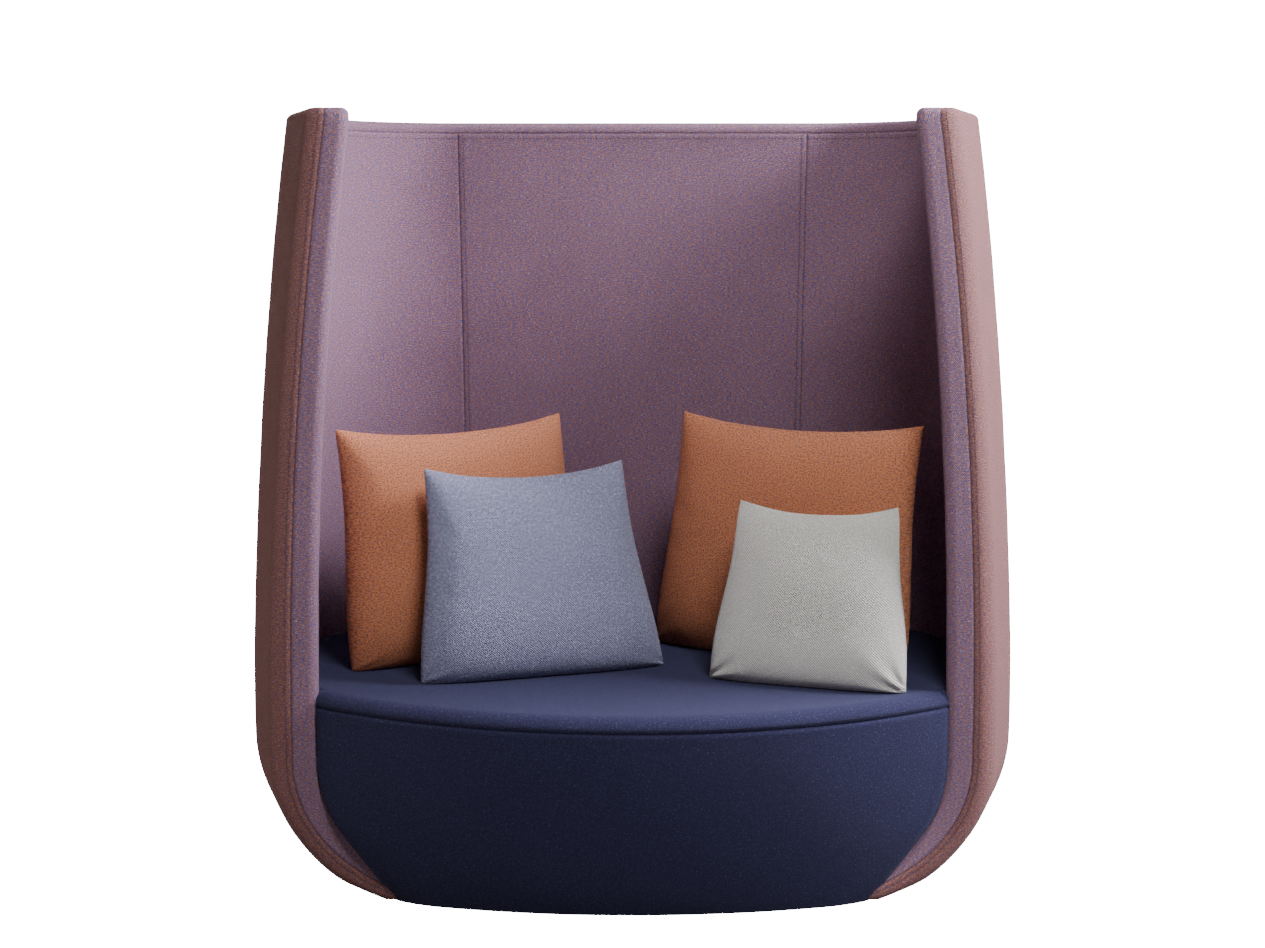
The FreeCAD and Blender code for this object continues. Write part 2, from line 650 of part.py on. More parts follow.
def build_seat():
    """Partitions, seat frame, webbing, foam and cover."""
    for name, share in (("partition_left", -1), ("partition_middle", 0), ("partition_right", 1)):
        front = "Sizes.base_lip_y + Sizes.partition_front_setback"
        if share:
            # the front arc falls back towards the sides
            front += " + Sizes.partition_spread * Sizes.partition_spread / (2 * Sizes.base_arc_radius)"
        back = "Sizes.axis_y + Sizes.partition_back_offset"
        left = f"{share} * Sizes.partition_spread - Sizes.board_thickness / 2"
        blank = box(name + "_blank", "Sizes.board_thickness", f"{back} - ({front})",
                    "Sizes.seat_frame_low - Sizes.base_top", left, front, "Sizes.base_top")
        hole = doc.addObject("Part::Cylinder", name + "_hole")
        hole.Placement = Placement(Vector(), Rotation(Vector(0, 1, 0), 90))
        hole.setExpression("Radius", "Sizes.partition_hole_radius")
        hole.setExpression("Height", "2 * Sizes.board_thickness")
        hole.setExpression("Placement.Base.x", left + " - Sizes.board_thickness / 2")
        hole.setExpression("Placement.Base.y", f"({back} + {front}) / 2")
        hole.setExpression("Placement.Base.z", "(Sizes.seat_frame_low + Sizes.base_top) / 2")
        keep(name, boolean("Part::Cut", name, blank, hole))

    blank = plan_pad("seat_frame_blank", "seat_near", "seat_frame_y", "seat_frame_radius",
                     "seat_frame_low", "seat_frame_top")
    opening_y = "Sizes.front_y + Sizes.seat_opening_setback"
    opening = box("seat_opening", "Sizes.seat_opening_x", "Sizes.seat_opening_y", "3 * Sizes.board_thickness",
                  "-Sizes.seat_opening_x / 2", opening_y, "Sizes.seat_frame_low - Sizes.board_thickness")
    rounded = fillet("seat_opening_round", opening, "opening_corner", lambda edge: abs(
        edge.Vertexes[0].Z - edge.Vertexes[-1].Z) > 1)
    ring = boolean("Part::Cut", "seat_frame_ring", blank, rounded)
    bridges = [box(f"seat_bridge_{share}", "3 * Sizes.board_thickness", "Sizes.seat_opening_y + 2",
                   "Sizes.board_thickness", f"{share} * Sizes.partition_spread - 1.5 * Sizes.board_thickness",
                   opening_y + " - 1", "Sizes.seat_frame_low") for share in (-1, 0, 1)]
    keep("seat_frame", fuse("seat_frame", [ring, *bridges]))

    straps = [box(f"strap_{number}", "Sizes.strap_width", "Sizes.seat_opening_y + 2 * Sizes.strap_overlap",
                  "Sizes.strap_thickness", f"{number - 3} * Sizes.strap_spacing - Sizes.strap_width / 2",
                  opening_y + " - Sizes.strap_overlap", "Sizes.seat_frame_top") for number in range(7)]
    keep("seat_webbing", compound("seat_webbing", straps))

    def lip(low_alias):
        level = size(low_alias)
        limit = size("front_y") + size("edge_depth")
        return lambda edge: all(abs(point.z - level) < 0.01 and point.y < limit for point in edge_points(edge))

    block = plan_pad("foam_block", "foam_side", "foam_front_y", "foam_front_radius", "foam_low", "seam_height")
    crown = plan_pad("foam_crown", "foam_side", "foam_lip_y", "foam_arc_radius", "seam_height", "foam_height")
    crown_round = fillet("foam_crown_round", crown, "foam_round", lip("foam_height"))
    keep("seat_foam", fuse("seat_foam", [block, crown_round]))
    shell = plan_pad("seat_cover_blank", "seat_near", "lip_y", "lip_arc_radius", "seam_height", "seat_height")
    shell_round = fillet("seat_cover_round", shell, "lip_round", lip("seat_height"))
    core = plan_pad("seat_cavity", "cavity_near", "cavity_lip_y", "cavity_arc_radius", "seam_height",
                    "cavity_height")
    core_round = fillet("seat_cavity_round", core, "cavity_round", lip("cavity_height"))
    keep("seat_cover", boolean("Part::Cut", "seat_cover", shell_round, core_round))


def crescent(name, height, lip, radius, near, far):
    """Plan of one fascia layer at one height, between two depths behind its front arc."""
    sketch = doc.addObject("Sketcher::SketchObject", name)
    half = size("lip_half") * 1.08
    centre_y = size(lip) + size(radius)
    outer, inner = size(radius) - near[0], size(radius) - far[0]
    down = 1.5 * math.pi
    spread, inner_spread = math.asin(half / outer), math.asin(half / inner)

    def end(arc_radius):
        return centre_y - math.sqrt(arc_radius ** 2 - half ** 2)

    sketch.addGeometry([
        arc(0, centre_y, outer, down - spread, down + spread),
        line(half, end(outer), half, end(inner)),
        arc(0, centre_y, inner, down - inner_spread, down + inner_spread),
        line(-half, end(inner), -half, end(outer)),
    ])
    join(sketch, [(0, 2, 1, 1), (1, 2, 2, 2), (2, 1, 3, 1), (3, 2, 0, 1), (0, 3, 2, 3)])
    sketch.addConstraint(Sketcher.Constraint("Vertical", 1))
    sketch.addConstraint(Sketcher.Constraint("Vertical", 3))
    sketch.addConstraint(Sketcher.Constraint("PointOnObject", 0, 3, -2))
    dimension(sketch, "DistanceY", (-1, 1, 0, 3), centre_y, f"Sizes.{lip} + Sizes.{radius}")
    dimension(sketch, "Radius", (0,), outer, f"Sizes.{radius} - ({near[1]})")
    dimension(sketch, "Radius", (2,), inner, f"Sizes.{radius} - ({far[1]})")
    dimension(sketch, "DistanceX", (-1, 1, 0, 2), half, "1.08 * Sizes.lip_half")
    dimension(sketch, "DistanceX", (0, 1, -1, 1), half, "1.08 * Sizes.lip_half")
    sketch.setExpression("Placement.Base.z", f"Sizes.{height}")
    return sketch


def fascia_outline():
    """Front outline of the fascia: level top, upright sides that turn in along the bowl, and a level foot."""
    sketch = doc.addObject("Sketcher::SketchObject", "fascia_outline")
    radius, middle = size("fascia_edge_radius"), size("belly_height")
    half, turn = size("fascia_half"), math.radians(size("fascia_edge_turn"))
    centre = half - radius
    low, high = size("foot_height"), size("fascia_top")
    bend = Vector(centre + radius * math.cos(turn), middle - radius * math.sin(turn), 0)
    foot = bend.x - (bend.y - low) * math.tan(turn)
    sketch.addGeometry([
        line(foot, low, bend.x, bend.y),
        arc(centre, middle, radius, -turn, 0),
        line(half, middle, half, high),
        line(half, high, -half, high),
        line(-half, high, -half, middle),
        arc(-centre, middle, radius, math.pi, math.pi + turn),
        line(-bend.x, bend.y, -foot, low),
        line(-foot, low, foot, low),
    ])
    join(sketch, [(2, 2, 3, 1), (3, 2, 4, 1), (6, 2, 7, 1), (7, 2, 0, 1)])
    join(sketch, [(0, 2, 1, 1), (1, 2, 2, 1), (4, 2, 5, 1), (5, 2, 6, 1)], "Tangent")
    for kind, edges in (("Vertical", (2, 4)), ("Horizontal", (3, 7))):
        for edge in edges:
            sketch.addConstraint(Sketcher.Constraint(kind, edge))
    sketch.addConstraint(Sketcher.Constraint("Equal", 1, 5))
    side = "Sizes.fascia_half - Sizes.fascia_edge_radius"
    slope = "(90 - Sizes.fascia_edge_turn) * 1 deg"
    dimension(sketch, "DistanceX", (-1, 1, 1, 3), centre, side)
    dimension(sketch, "DistanceX", (5, 3, -1, 1), centre, side)
    dimension(sketch, "DistanceY", (-1, 1, 1, 3), middle, "Sizes.belly_height")
    dimension(sketch, "DistanceY", (-1, 1, 5, 3), middle, "Sizes.belly_height")
    dimension(sketch, "Radius", (1,), radius, "Sizes.fascia_edge_radius")
    dimension(sketch, "DistanceY", (-1, 1, 3, 1), high, "Sizes.fascia_top")
    dimension(sketch, "DistanceY", (-1, 1, 7, 1), low, "Sizes.foot_height")
    dimension(sketch, "Angle", (0,), math.pi / 2 - turn, slope)
    dimension(sketch, "Angle", (6,), turn - math.pi / 2, "-" + slope)
    sketch.Placement = Placement(Vector(), UPRIGHT)
    return sketch


def build_fascia():
    """Bent board, foam and cover of the curved front, lofted from floor to lip and cut to one outline."""
    outline = extrude("fascia_window", fascia_outline(), Vector(0, -1, 0), "2 * Sizes.overall_depth", both=True)
    gap, cloth = size("layer_gap"), size("cover_thickness")
    foam_near = cloth + gap
    foam_far = foam_near + size("fascia_pad")
    board_near = foam_far + gap
    board_far = board_near + size("fascia_board")
    foam_text = "Sizes.cover_thickness + Sizes.layer_gap"
    board_text = foam_text + " + Sizes.fascia_pad + Sizes.layer_gap"
    layers = {
        "fascia_cover": ((0, "0"), (cloth, "Sizes.cover_thickness")),
        "fascia_foam": ((foam_near, foam_text), (foam_far, foam_text + " + Sizes.fascia_pad")),
        "fascia_board": ((board_near, board_text), (board_far, board_text + " + Sizes.fascia_board")),
    }
    levels = (("foot_height", "floor_lip_y", "floor_arc_radius"),
              ("seat_frame_low", "belly_lip_y", "belly_arc_radius"),
              ("seam_height", "lip_y", "lip_arc_radius"))
    for name, (near, far) in layers.items():
        loft = doc.addObject("Part::Loft", name + "_loft")
        loft.Sections = [crescent(f"{name}_{level}", level, lip, radius, near, far)
                         for level, lip, radius in levels]
        loft.Solid = True
        keep(name, boolean("Part::Common", name, loft, outline))


def cushion_section(name, cushion, place, share, keep_share, inset, straight):
    """One upright slice of a cushion: a tapered square whose top and sides pull in between its corners."""
    foot, top = size(f"{cushion}_foot_width"), size(f"{cushion}_top_width")
    rise, loft = size(f"{cushion}_rise"), size(f"{cushion}_loft")
    middle = rise * 0.47
    low = middle * (1 - keep_share) + inset
    high = middle + (rise - middle) * keep_share - inset
    foot_half, top_half = foot / 2 * keep_share - inset, top / 2 * keep_share - inset
    slump = size(f"{cushion}_slump") / rise
    corners = [Vector(-foot_half + slump * low, low, 0), Vector(foot_half + slump * low, low, 0),
               Vector(top_half + slump * high, high, 0), Vector(-top_half + slump * high, high, 0)]
    dip = 0 if straight else EDGE_DIP * rise
    pulls = (Vector(), Vector(-dip / 2, 0, 0), Vector(0, -dip, 0), Vector(dip / 2, 0, 0))
    sketch = doc.addObject("Sketcher::SketchObject", name)
    for number, pull in enumerate(pulls):
        start, end = corners[number], corners[(number + 1) % 4]
        if pull.Length:
            sketch.addGeometry(Part.Arc(start, (start + end) * 0.5 + pull * keep_share, end))
        else:
            sketch.addGeometry(Part.LineSegment(start, end))
    sketch.Placement = place * Placement(Vector(0, share * (loft / 2 - inset), 0), UPRIGHT)
    return sketch


def build_cushions():
    """Cover and filling of each loose cushion, leaned back on its foot."""
    for cushion in CUSHIONS:
        spot = Vector(size(f"{cushion}_foot_x"), size("front_y") + size(f"{cushion}_setback"),
                      size("seat_height") + size("rest_gap"))
        place = Placement(spot, Rotation(Vector(0, 0, 1), size(f"{cushion}_yaw"))
                          * Rotation(Vector(1, 0, 0), -size(f"{cushion}_lean")))

        def pillow(stem, steps, inset, straight):
            loft = doc.addObject("Part::Loft", stem)
            loft.Sections = [cushion_section(f"{stem}_{number}", cushion, place, share, left, inset, straight)
                             for number, (share, left) in enumerate(steps)]
            loft.Ruled = True
            loft.Solid = True
            return loft

        outside = pillow(f"cushion_{cushion}_outside", CUSHION_STEPS, 0, False)
        cavity = pillow(f"cushion_{cushion}_cavity", PAD_STEPS, size("cushion_cloth"), True)
        keep(f"cushion_{cushion}_cover", boolean("Part::Cut", f"cushion_{cushion}_cover", outside, cavity))
        keep(f"cushion_{cushion}_pad", pillow(f"cushion_{cushion}_pad", PAD_STEPS,
                                              size("cushion_cloth") + size("layer_gap"), True))


def check_and_export():
    """Stop on any failed object, then write each sub-part to its own file."""
    doc.recompute()
    failed = [obj.Name for obj in doc.Objects if "Invalid" in obj.State or "Error" in obj.State]
    if failed:
        raise RuntimeError("failed objects: " + ", ".join(failed))
    for node, obj in parts.items():
        if obj.Shape.isNull() or not obj.Shape.isValid() or not obj.Shape.Solids:
            raise RuntimeError(f"bad shape: {node}")
    os.makedirs("parts", exist_ok=True)
    for node, obj in parts.items():
        obj.Shape.exportStep(f"parts/{node}.step")


front_trim = build_wall()
build_edges()
build_frame(front_trim)
build_base()
build_seat()
build_fascia()
build_cushions()
check_and_export()
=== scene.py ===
"""Dressed scene of a high-backed cocoon sofa: upholstered shell, bowed seat and scatter cushions."""

import logging
import math
from contextlib import contextmanager
from dataclasses import dataclass, field
from enum import Enum
from typing import Iterator

import bpy
import numpy as np
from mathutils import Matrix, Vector, noise

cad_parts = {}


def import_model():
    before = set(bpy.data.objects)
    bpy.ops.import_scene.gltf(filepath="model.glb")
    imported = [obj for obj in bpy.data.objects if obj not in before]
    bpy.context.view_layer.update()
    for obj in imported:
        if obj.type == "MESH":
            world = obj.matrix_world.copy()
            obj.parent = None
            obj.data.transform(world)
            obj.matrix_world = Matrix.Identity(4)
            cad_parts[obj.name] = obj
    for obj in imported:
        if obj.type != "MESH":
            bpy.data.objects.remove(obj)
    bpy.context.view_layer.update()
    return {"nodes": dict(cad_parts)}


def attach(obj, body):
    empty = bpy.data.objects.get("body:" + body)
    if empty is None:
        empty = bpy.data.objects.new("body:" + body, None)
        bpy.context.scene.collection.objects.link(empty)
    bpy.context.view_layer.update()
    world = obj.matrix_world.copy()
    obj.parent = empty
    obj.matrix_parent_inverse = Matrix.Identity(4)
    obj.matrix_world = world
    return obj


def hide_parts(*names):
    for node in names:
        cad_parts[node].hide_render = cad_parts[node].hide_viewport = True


log = logging.getLogger("sofa")
Colour = tuple[float, float, float]
Place = tuple[float, float, float]
FLIP = np.array([-1.0, 1.0, 1.0])
SMOOTH_ANGLE = math.radians(50)
SWELL_SHARE, SWELL_PLACE, SWELL_SPREAD = 0.12, 3.0, 1.6
TINY = 1e-12


class Side(Enum):
    """The two halves of the sofa, as the viewer sees them."""

    LEFT = -1
    RIGHT = 1


class Weave(Enum):
    """How the threads of a cloth show from a step away."""

    SHOT = "two-colour streaks along the weft"
    PLAIN = "fine even threads"
    MELANGE = "speckled yarn"
    BASKET = "small pale and dark dots"


class Board(Enum):
    """Kinds of material inside the upholstery and under the sofa."""

    PLYWOOD = "plywood"
    TIMBER = "timber"
    FOAM = "foam"
    FILL = "fill"
    WEBBING = "webbing"
    DUST = "dust"
    PLASTIC = "plastic"
    STEEL = "steel"


# Finishes


class Graph:
    """A small helper that lays and links shader nodes."""

    def __init__(self, name: str) -> None:
        """Start a material with an empty node tree.

        Args:
            name: The material's name.
        """
        self.material = bpy.data.materials.new(name)
        self.material.use_nodes = True
        self.tree = self.material.node_tree
        self.shader = self.tree.nodes["Principled BSDF"]

    def node(self, kind: str, settings: dict | None = None, **inputs) -> bpy.types.Node:
        """Add a node, set its fields and feed its inputs.

        Args:
            kind: The node's type name.
            settings: Fields to set on the node itself.
            inputs: Values or sockets by input name, with underscores for spaces.

        Returns:
            The new node.
        """
        made = self.tree.nodes.new(kind)
        for key, value in (settings or {}).items():
            setattr(made, key, value)
        for key, value in inputs.items():
            self.feed(made.inputs[key.replace("_", " ")], value)
        return made

    def feed(self, socket: bpy.types.NodeSocket, value) -> None:
        """Set a socket to a plain value, or link it to another node's output."""
        if isinstance(value, bpy.types.NodeSocket):
            self.tree.links.new(value, socket)
        else:
            socket.default_value = value

    def maths(self, operation: str, first, second=0.0, clamp: bool = False) -> bpy.types.NodeSocket:
        """Add a Math node.

        Args:
            operation: The node's operation.
            first: First value or socket.
            second: Second value or socket.
            clamp: Whether the result is kept between 0 and 1.

        Returns:
            The node's output.
        """
        made = self.tree.nodes.new("ShaderNodeMath")
        made.operation = operation
        made.use_clamp = clamp
        self.feed(made.inputs[0], first)
        self.feed(made.inputs[1], second)
        return made.outputs[0]

    def scaled(self, value, factor: float, base: float, clamp: bool = False) -> bpy.types.NodeSocket:
        """Multiply a value and add a base to it."""
        return self.maths("ADD", self.maths("MULTIPLY", value, factor), base, clamp)

    def blend(self, factor, first, second) -> bpy.types.NodeSocket:
        """Mix two colours.

        Args:
            factor: Share of the second colour.
            first: First colour or socket.
            second: Second colour or socket.

        Returns:
            The mixed colour.
        """
        made = self.tree.nodes.new("ShaderNodeMix")
        made.data_type = "RGBA"
        self.feed(made.inputs[0], factor)
        for socket, value in ((made.inputs[6], first), (made.inputs[7], second)):
            self.feed(socket, (*value, 1.0) if isinstance(value, tuple) else value)
        return made.outputs[2]

    def ramp(self, factor, low: float, high: float) -> bpy.types.NodeSocket:
        """Stretch a value so that low becomes 0 and high becomes 1."""
        made = self.node("ShaderNodeMapRange", {"interpolation_type": "SMOOTHSTEP"},
                         Value=factor, From_Min=low, From_Max=high)
        return made.outputs[0]


@dataclass(frozen=True)
class Cloth:
    """A woven upholstery cloth, patterned on the piece's own weave map in metres."""

    name: str
    weave: Weave
    warp: Colour
    weft: Colour
    fleck: Colour
    thread: float = 0.0024
    streak: float = 0.5
    roughness: float = 0.9
    sheen: float = 0.3
    sheen_tint: Colour = (1.0, 1.0, 1.0)
    gloss: float = 0.2
    gloss_tint: Colour = (1.0, 1.0, 1.0)
    relief: float = 0.5
    fleck_band: tuple[float, float] = (0.56, 0.78)
    yarn_band: tuple[float, float] = (0.40, 0.64)
    speck_scale: float = 0.9
    drift: float = 0.24
    drift_scale: float = 5.0
    unevenness: float = 0.08
    # Painted shade along seams: how strongly it darkens the cloth, and its darkness as a share of the warp
    # colour.
    seam_shade_share: float = 0.6
    seam_shade_dark: float = 0.12
    sheen_spread: float = 0.4
    weave_height: float = 0.8
    slub_height: float = 0.3

    def material(self) -> bpy.types.Material:
        """Build the cloth's material.

        Returns:
            A material with woven colour, painted shade along seams, roughness and relief.
        """
        graph = Graph(self.name)
        chart = graph.node("ShaderNodeUVMap", {"uv_map": "weave"}).outputs[0]
        warp = self.band(graph, chart, "X")
        weft = self.band(graph, chart, "Y")
        over = graph.maths("MULTIPLY", graph.maths("SUBTRACT", warp, 0.5), graph.maths("SUBTRACT", weft, 0.5))
        over = graph.scaled(over, 2.0, 0.5, clamp=True)
        slub = self.slub(graph, chart)
        show = graph.maths("ADD", graph.maths("MULTIPLY", over, 1 - self.streak),
                           graph.maths("MULTIPLY", slub, self.streak), clamp=True)
        colour = graph.blend(show, self.warp, self.weft)
        speck = graph.node("ShaderNodeTexNoise", Vector=chart, Scale=self.speck_scale / self.thread,
                           Detail=2.0).outputs[0]
        colour = graph.blend(graph.ramp(speck, *self.fleck_band), colour, self.fleck)
        drift = graph.node("ShaderNodeTexNoise", Vector=chart, Scale=self.drift_scale, Detail=3.0).outputs[0]
        shade = graph.node("ShaderNodeHueSaturation", Color=colour,
                           Value=graph.scaled(drift, self.drift, 1 - self.drift / 2))
        # Painted shade: the piece's seam attribute darkens the colour towards a dark copy of the warp along
        # seams, stitch lines and hems, where shade falls in the grooves.
        seam = graph.node("ShaderNodeAttribute", {"attribute_name": "seam"}).outputs["Fac"]
        shadow = tuple(self.seam_shade_dark * value for value in self.warp)
        graph.feed(graph.shader.inputs["Base Color"],
                   graph.blend(graph.maths("MULTIPLY", seam, self.seam_shade_share), shade.outputs[0], shadow))
        graph.feed(graph.shader.inputs["Roughness"],
                   graph.scaled(slub, self.unevenness, self.roughness - self.unevenness / 2))
        graph.shader.inputs["Sheen Weight"].default_value = self.sheen
        graph.shader.inputs["Sheen Roughness"].default_value = self.sheen_spread
        graph.shader.inputs["Sheen Tint"].default_value = (*self.sheen_tint, 1.0)
        graph.shader.inputs["Specular IOR Level"].default_value = self.gloss
        graph.shader.inputs["Specular Tint"].default_value = (*self.gloss_tint, 1.0)
        height = graph.maths("ADD", graph.maths("MULTIPLY", over, self.weave_height),
                             graph.maths("MULTIPLY", slub, self.slub_height))
        bump = graph.node("ShaderNodeBump", Strength=self.relief, Distance=self.thread / 2, Height=height)
        graph.feed(graph.shader.inputs["Normal"], bump.outputs[0])
        return graph.material

    def band(self, graph: Graph, chart, direction: str) -> bpy.types.NodeSocket:
        """Parallel threads, upright for X and level for Y, as a value that rises and falls across each."""
        wave = graph.node("ShaderNodeTexWave", {"bands_direction": direction}, Vector=chart,
                          Scale=math.pi / (10 * self.thread), Distortion=1.2, Detail=1.0, Detail_Scale=2.0)
        return wave.outputs["Fac"]

    def slub(self, graph: Graph, chart) -> bpy.types.NodeSocket:
        """Uneven yarn: long streaks, specks or dots by the kind of weave.

        Args:
            graph: The material being built.
            chart: The weave map.

        Returns:
            A value between 0 and 1.
        """
        wide, tall = {
            Weave.SHOT: (170.0, 430.0),
            Weave.PLAIN: (230.0, 340.0),
            Weave.MELANGE: (270.0, 360.0),
            Weave.BASKET: (270.0, 270.0),
        }[self.weave]
        place = graph.node("ShaderNodeMapping", Vector=chart, Scale=(wide, tall, 1.0)).outputs[0]
        yarn = graph.node("ShaderNodeTexNoise", Vector=place, Scale=1.0, Detail=3.0, Roughness=0.6).outputs[0]
        return graph.ramp(yarn, *self.yarn_band)


@dataclass(frozen=True)
class Thread:
    """Sewing thread."""

    name: str
    colour: Colour
    dark: float = 0.6
    roughness: float = 0.7
    unevenness: float = 0.2

    def material(self) -> bpy.types.Material:
        """Build the thread's material.

        Returns:
            A material with a fine twist.
        """
        graph = Graph(self.name)
        place = graph.node("ShaderNodeTexCoord").outputs["Object"]
        twist = graph.node("ShaderNodeTexNoise", Vector=place, Scale=900.0, Detail=2.0).outputs[0]
        dark = tuple(value * self.dark for value in self.colour)
        graph.feed(graph.shader.inputs["Base Color"], graph.blend(twist, dark, self.colour))
        graph.feed(graph.shader.inputs["Roughness"],
                   graph.scaled(twist, self.unevenness, self.roughness - self.unevenness / 2))
        return graph.material


@dataclass(frozen=True)
class Carcass:
    """A material of the frame, filling or underside."""

    board: Board
    light: Colour
    dark: Colour
    roughness: float
    grain: Colour
    metal: float = 0.0
    grain_band: tuple[float, float] = (0.3, 0.7)
    unevenness: float = 0.2

    def material(self) -> bpy.types.Material:
        """Build the material.

        Returns:
            A material whose grain or pores vary its colour, roughness and relief.
        """
        graph = Graph("carcass_" + self.board.value)
        place = graph.node("ShaderNodeTexCoord").outputs["Object"]
        stretched = graph.node("ShaderNodeMapping", Vector=place, Scale=self.grain).outputs[0]
        grain = graph.node("ShaderNodeTexNoise", Vector=stretched, Scale=1.0, Detail=5.0,
                           Roughness=0.62).outputs[0]
        graph.feed(graph.shader.inputs["Base Color"],
                   graph.blend(graph.ramp(grain, *self.grain_band), self.dark, self.light))
        graph.feed(graph.shader.inputs["Roughness"],
                   graph.scaled(grain, self.unevenness, self.roughness - self.unevenness / 2))
        graph.shader.inputs["Metallic"].default_value = self.metal
        bump = graph.node("ShaderNodeBump", Strength=0.3, Distance=0.0006, Height=grain)
        graph.feed(graph.shader.inputs["Normal"], bump.outputs[0])
        return graph.material


LINING_CLOTH = Cloth(
    "lining_cloth", Weave.SHOT, (0.102, 0.092, 0.275), (0.440, 0.200, 0.112), (0.47, 0.40, 0.54),
    thread=0.0034, streak=0.84, roughness=0.64, sheen=0.16, sheen_tint=(0.86, 0.78, 1.0),
    gloss=0.5, gloss_tint=(0.80, 0.74, 1.0), relief=0.9)
# Painted shade: the outer panels wear a darker, warmer copy of the lining's shot cloth; on the sofa both are
# one fabric.
SHADED_OUTER_CLOTH = Cloth(
    "outer_cloth", Weave.SHOT, (0.132, 0.077, 0.140), (0.405, 0.168, 0.092), (0.43, 0.31, 0.31),
    thread=0.0034, streak=0.84, roughness=0.7, sheen=0.10, sheen_tint=(1.0, 0.84, 0.80),
    gloss=0.25, gloss_tint=(1.0, 0.84, 0.82), relief=0.9)
SEAT_CLOTH = Cloth(
    "seat_cloth", Weave.PLAIN, (0.016, 0.016, 0.052), (0.034, 0.034, 0.094), (0.07, 0.08, 0.17),
    thread=0.0032, streak=0.6, sheen=0.16, sheen_tint=(0.55, 0.65, 1.0), relief=0.6)
RUST_CLOTH = Cloth(
    "rust_cloth", Weave.MELANGE, (0.78, 0.305, 0.150), (0.33, 0.115, 0.072), (0.36, 0.24, 0.28),
    thread=0.0036, streak=0.9, sheen=0.12, sheen_tint=(1.0, 0.82, 0.70), relief=0.9)
BLUE_CLOTH = Cloth(
    "blue_cloth", Weave.BASKET, (0.120, 0.135, 0.270), (0.50, 0.520, 0.72), (0.58, 0.60, 0.76),
    thread=0.0048, streak=0.5, sheen=0.2, sheen_tint=(0.85, 0.88, 1.0), relief=0.9)
GREY_CLOTH = Cloth(
    "grey_cloth", Weave.BASKET, (0.60, 0.60, 0.56), (0.94, 0.94, 0.91), (0.95, 0.95, 0.93),
    thread=0.0052, streak=0.5, sheen=0.15, relief=1.0)
SHELL_THREAD = Thread("shell_thread", (0.10, 0.06, 0.10))
SEAT_THREAD = Thread("seat_thread", (0.012, 0.014, 0.03))
CARCASS = (
    Carcass(Board.PLYWOOD, (0.66, 0.48, 0.29), (0.48, 0.32, 0.17), 0.6, (4.0, 60.0, 60.0)),
    Carcass(Board.TIMBER, (0.58, 0.40, 0.22), (0.40, 0.25, 0.12), 0.65, (70.0, 70.0, 5.0)),
    Carcass(Board.FOAM, (0.83, 0.79, 0.62), (0.70, 0.65, 0.48), 0.95, (260.0, 260.0, 260.0)),
    Carcass(Board.FILL, (0.86, 0.85, 0.82), (0.72, 0.71, 0.68), 0.95, (160.0, 160.0, 160.0)),
    Carcass(Board.WEBBING, (0.10, 0.10, 0.10), (0.04, 0.04, 0.04), 0.8, (400.0, 60.0, 200.0)),
    Carcass(Board.DUST, (0.030, 0.030, 0.030), (0.014, 0.014, 0.014), 0.9, (380.0, 380.0, 380.0)),
    Carcass(Board.PLASTIC, (0.035, 0.035, 0.037), (0.020, 0.020, 0.021), 0.5, (500.0, 500.0, 500.0)),
    Carcass(Board.STEEL, (0.60, 0.60, 0.62), (0.44, 0.44, 0.46), 0.35, (900.0, 900.0, 60.0), metal=1.0),
)


# Modelling helpers


def clear_selection() -> None:
    """Leave nothing selected and nothing in edit mode."""
    if bpy.context.object and bpy.context.object.mode != "OBJECT":
        bpy.ops.object.mode_set(mode="OBJECT")
    bpy.ops.object.select_all(action="DESELECT")


def pick(piece: bpy.types.Object) -> None:
    """Select one piece alone and make it active."""
    clear_selection()
    piece.select_set(True)
    bpy.context.view_layer.objects.active = piece


@contextmanager
def editing(piece: bpy.types.Object) -> Iterator[None]:
    """Work on one piece in edit mode with all of it selected.

    Args:
        piece: The piece to work on.

    Yields:
        Nothing; the piece is in edit mode meanwhile.
    """
    pick(piece)
    bpy.ops.object.mode_set(mode="EDIT")
    bpy.ops.mesh.select_all(action="SELECT")
    yield
    bpy.ops.object.mode_set(mode="OBJECT")


def finish_modifier(piece: bpy.types.Object, kind: str, **settings) -> None:
    """Add a modifier to a piece and apply it.

    Args:
        piece: The piece to change.
        kind: The modifier's type.
        settings: Fields to set on it.
    """
    pick(piece)
    added = piece.modifiers.new(kind.lower(), kind)
    for key, value in settings.items():
        setattr(added, key, value)
    bpy.ops.object.modifier_apply(modifier=added.name)


def points_of(piece: bpy.types.Object) -> np.ndarray:
    """Places of a piece's points."""
    return np.array([tuple(vertex.co) for vertex in piece.data.vertices])


def place_points(piece: bpy.types.Object, places: np.ndarray) -> None:
    """Move a piece's points to new places."""
    piece.data.vertices.foreach_set("co", places.ravel())
    piece.data.update()


def clamp(value: float) -> float:
    """Keep a value between 0 and 1."""
    return min(max(value, 0.0), 1.0)


def ease(share: float) -> float:
    """Let a share start and end softly."""
    return share * share * (3 - 2 * share)


def lengths(path: np.ndarray) -> np.ndarray:
    """Length along a path up to each of its points."""
    return np.concatenate([[0.0], np.cumsum(np.linalg.norm(np.diff(path, axis=0), axis=1))])


def along_path(places: np.ndarray, run: np.ndarray, path: np.ndarray) -> np.ndarray:
    """Points of a path at given lengths along it."""
    return np.stack([np.interp(places, run, path[:, axis]) for axis in range(3)], axis=1)


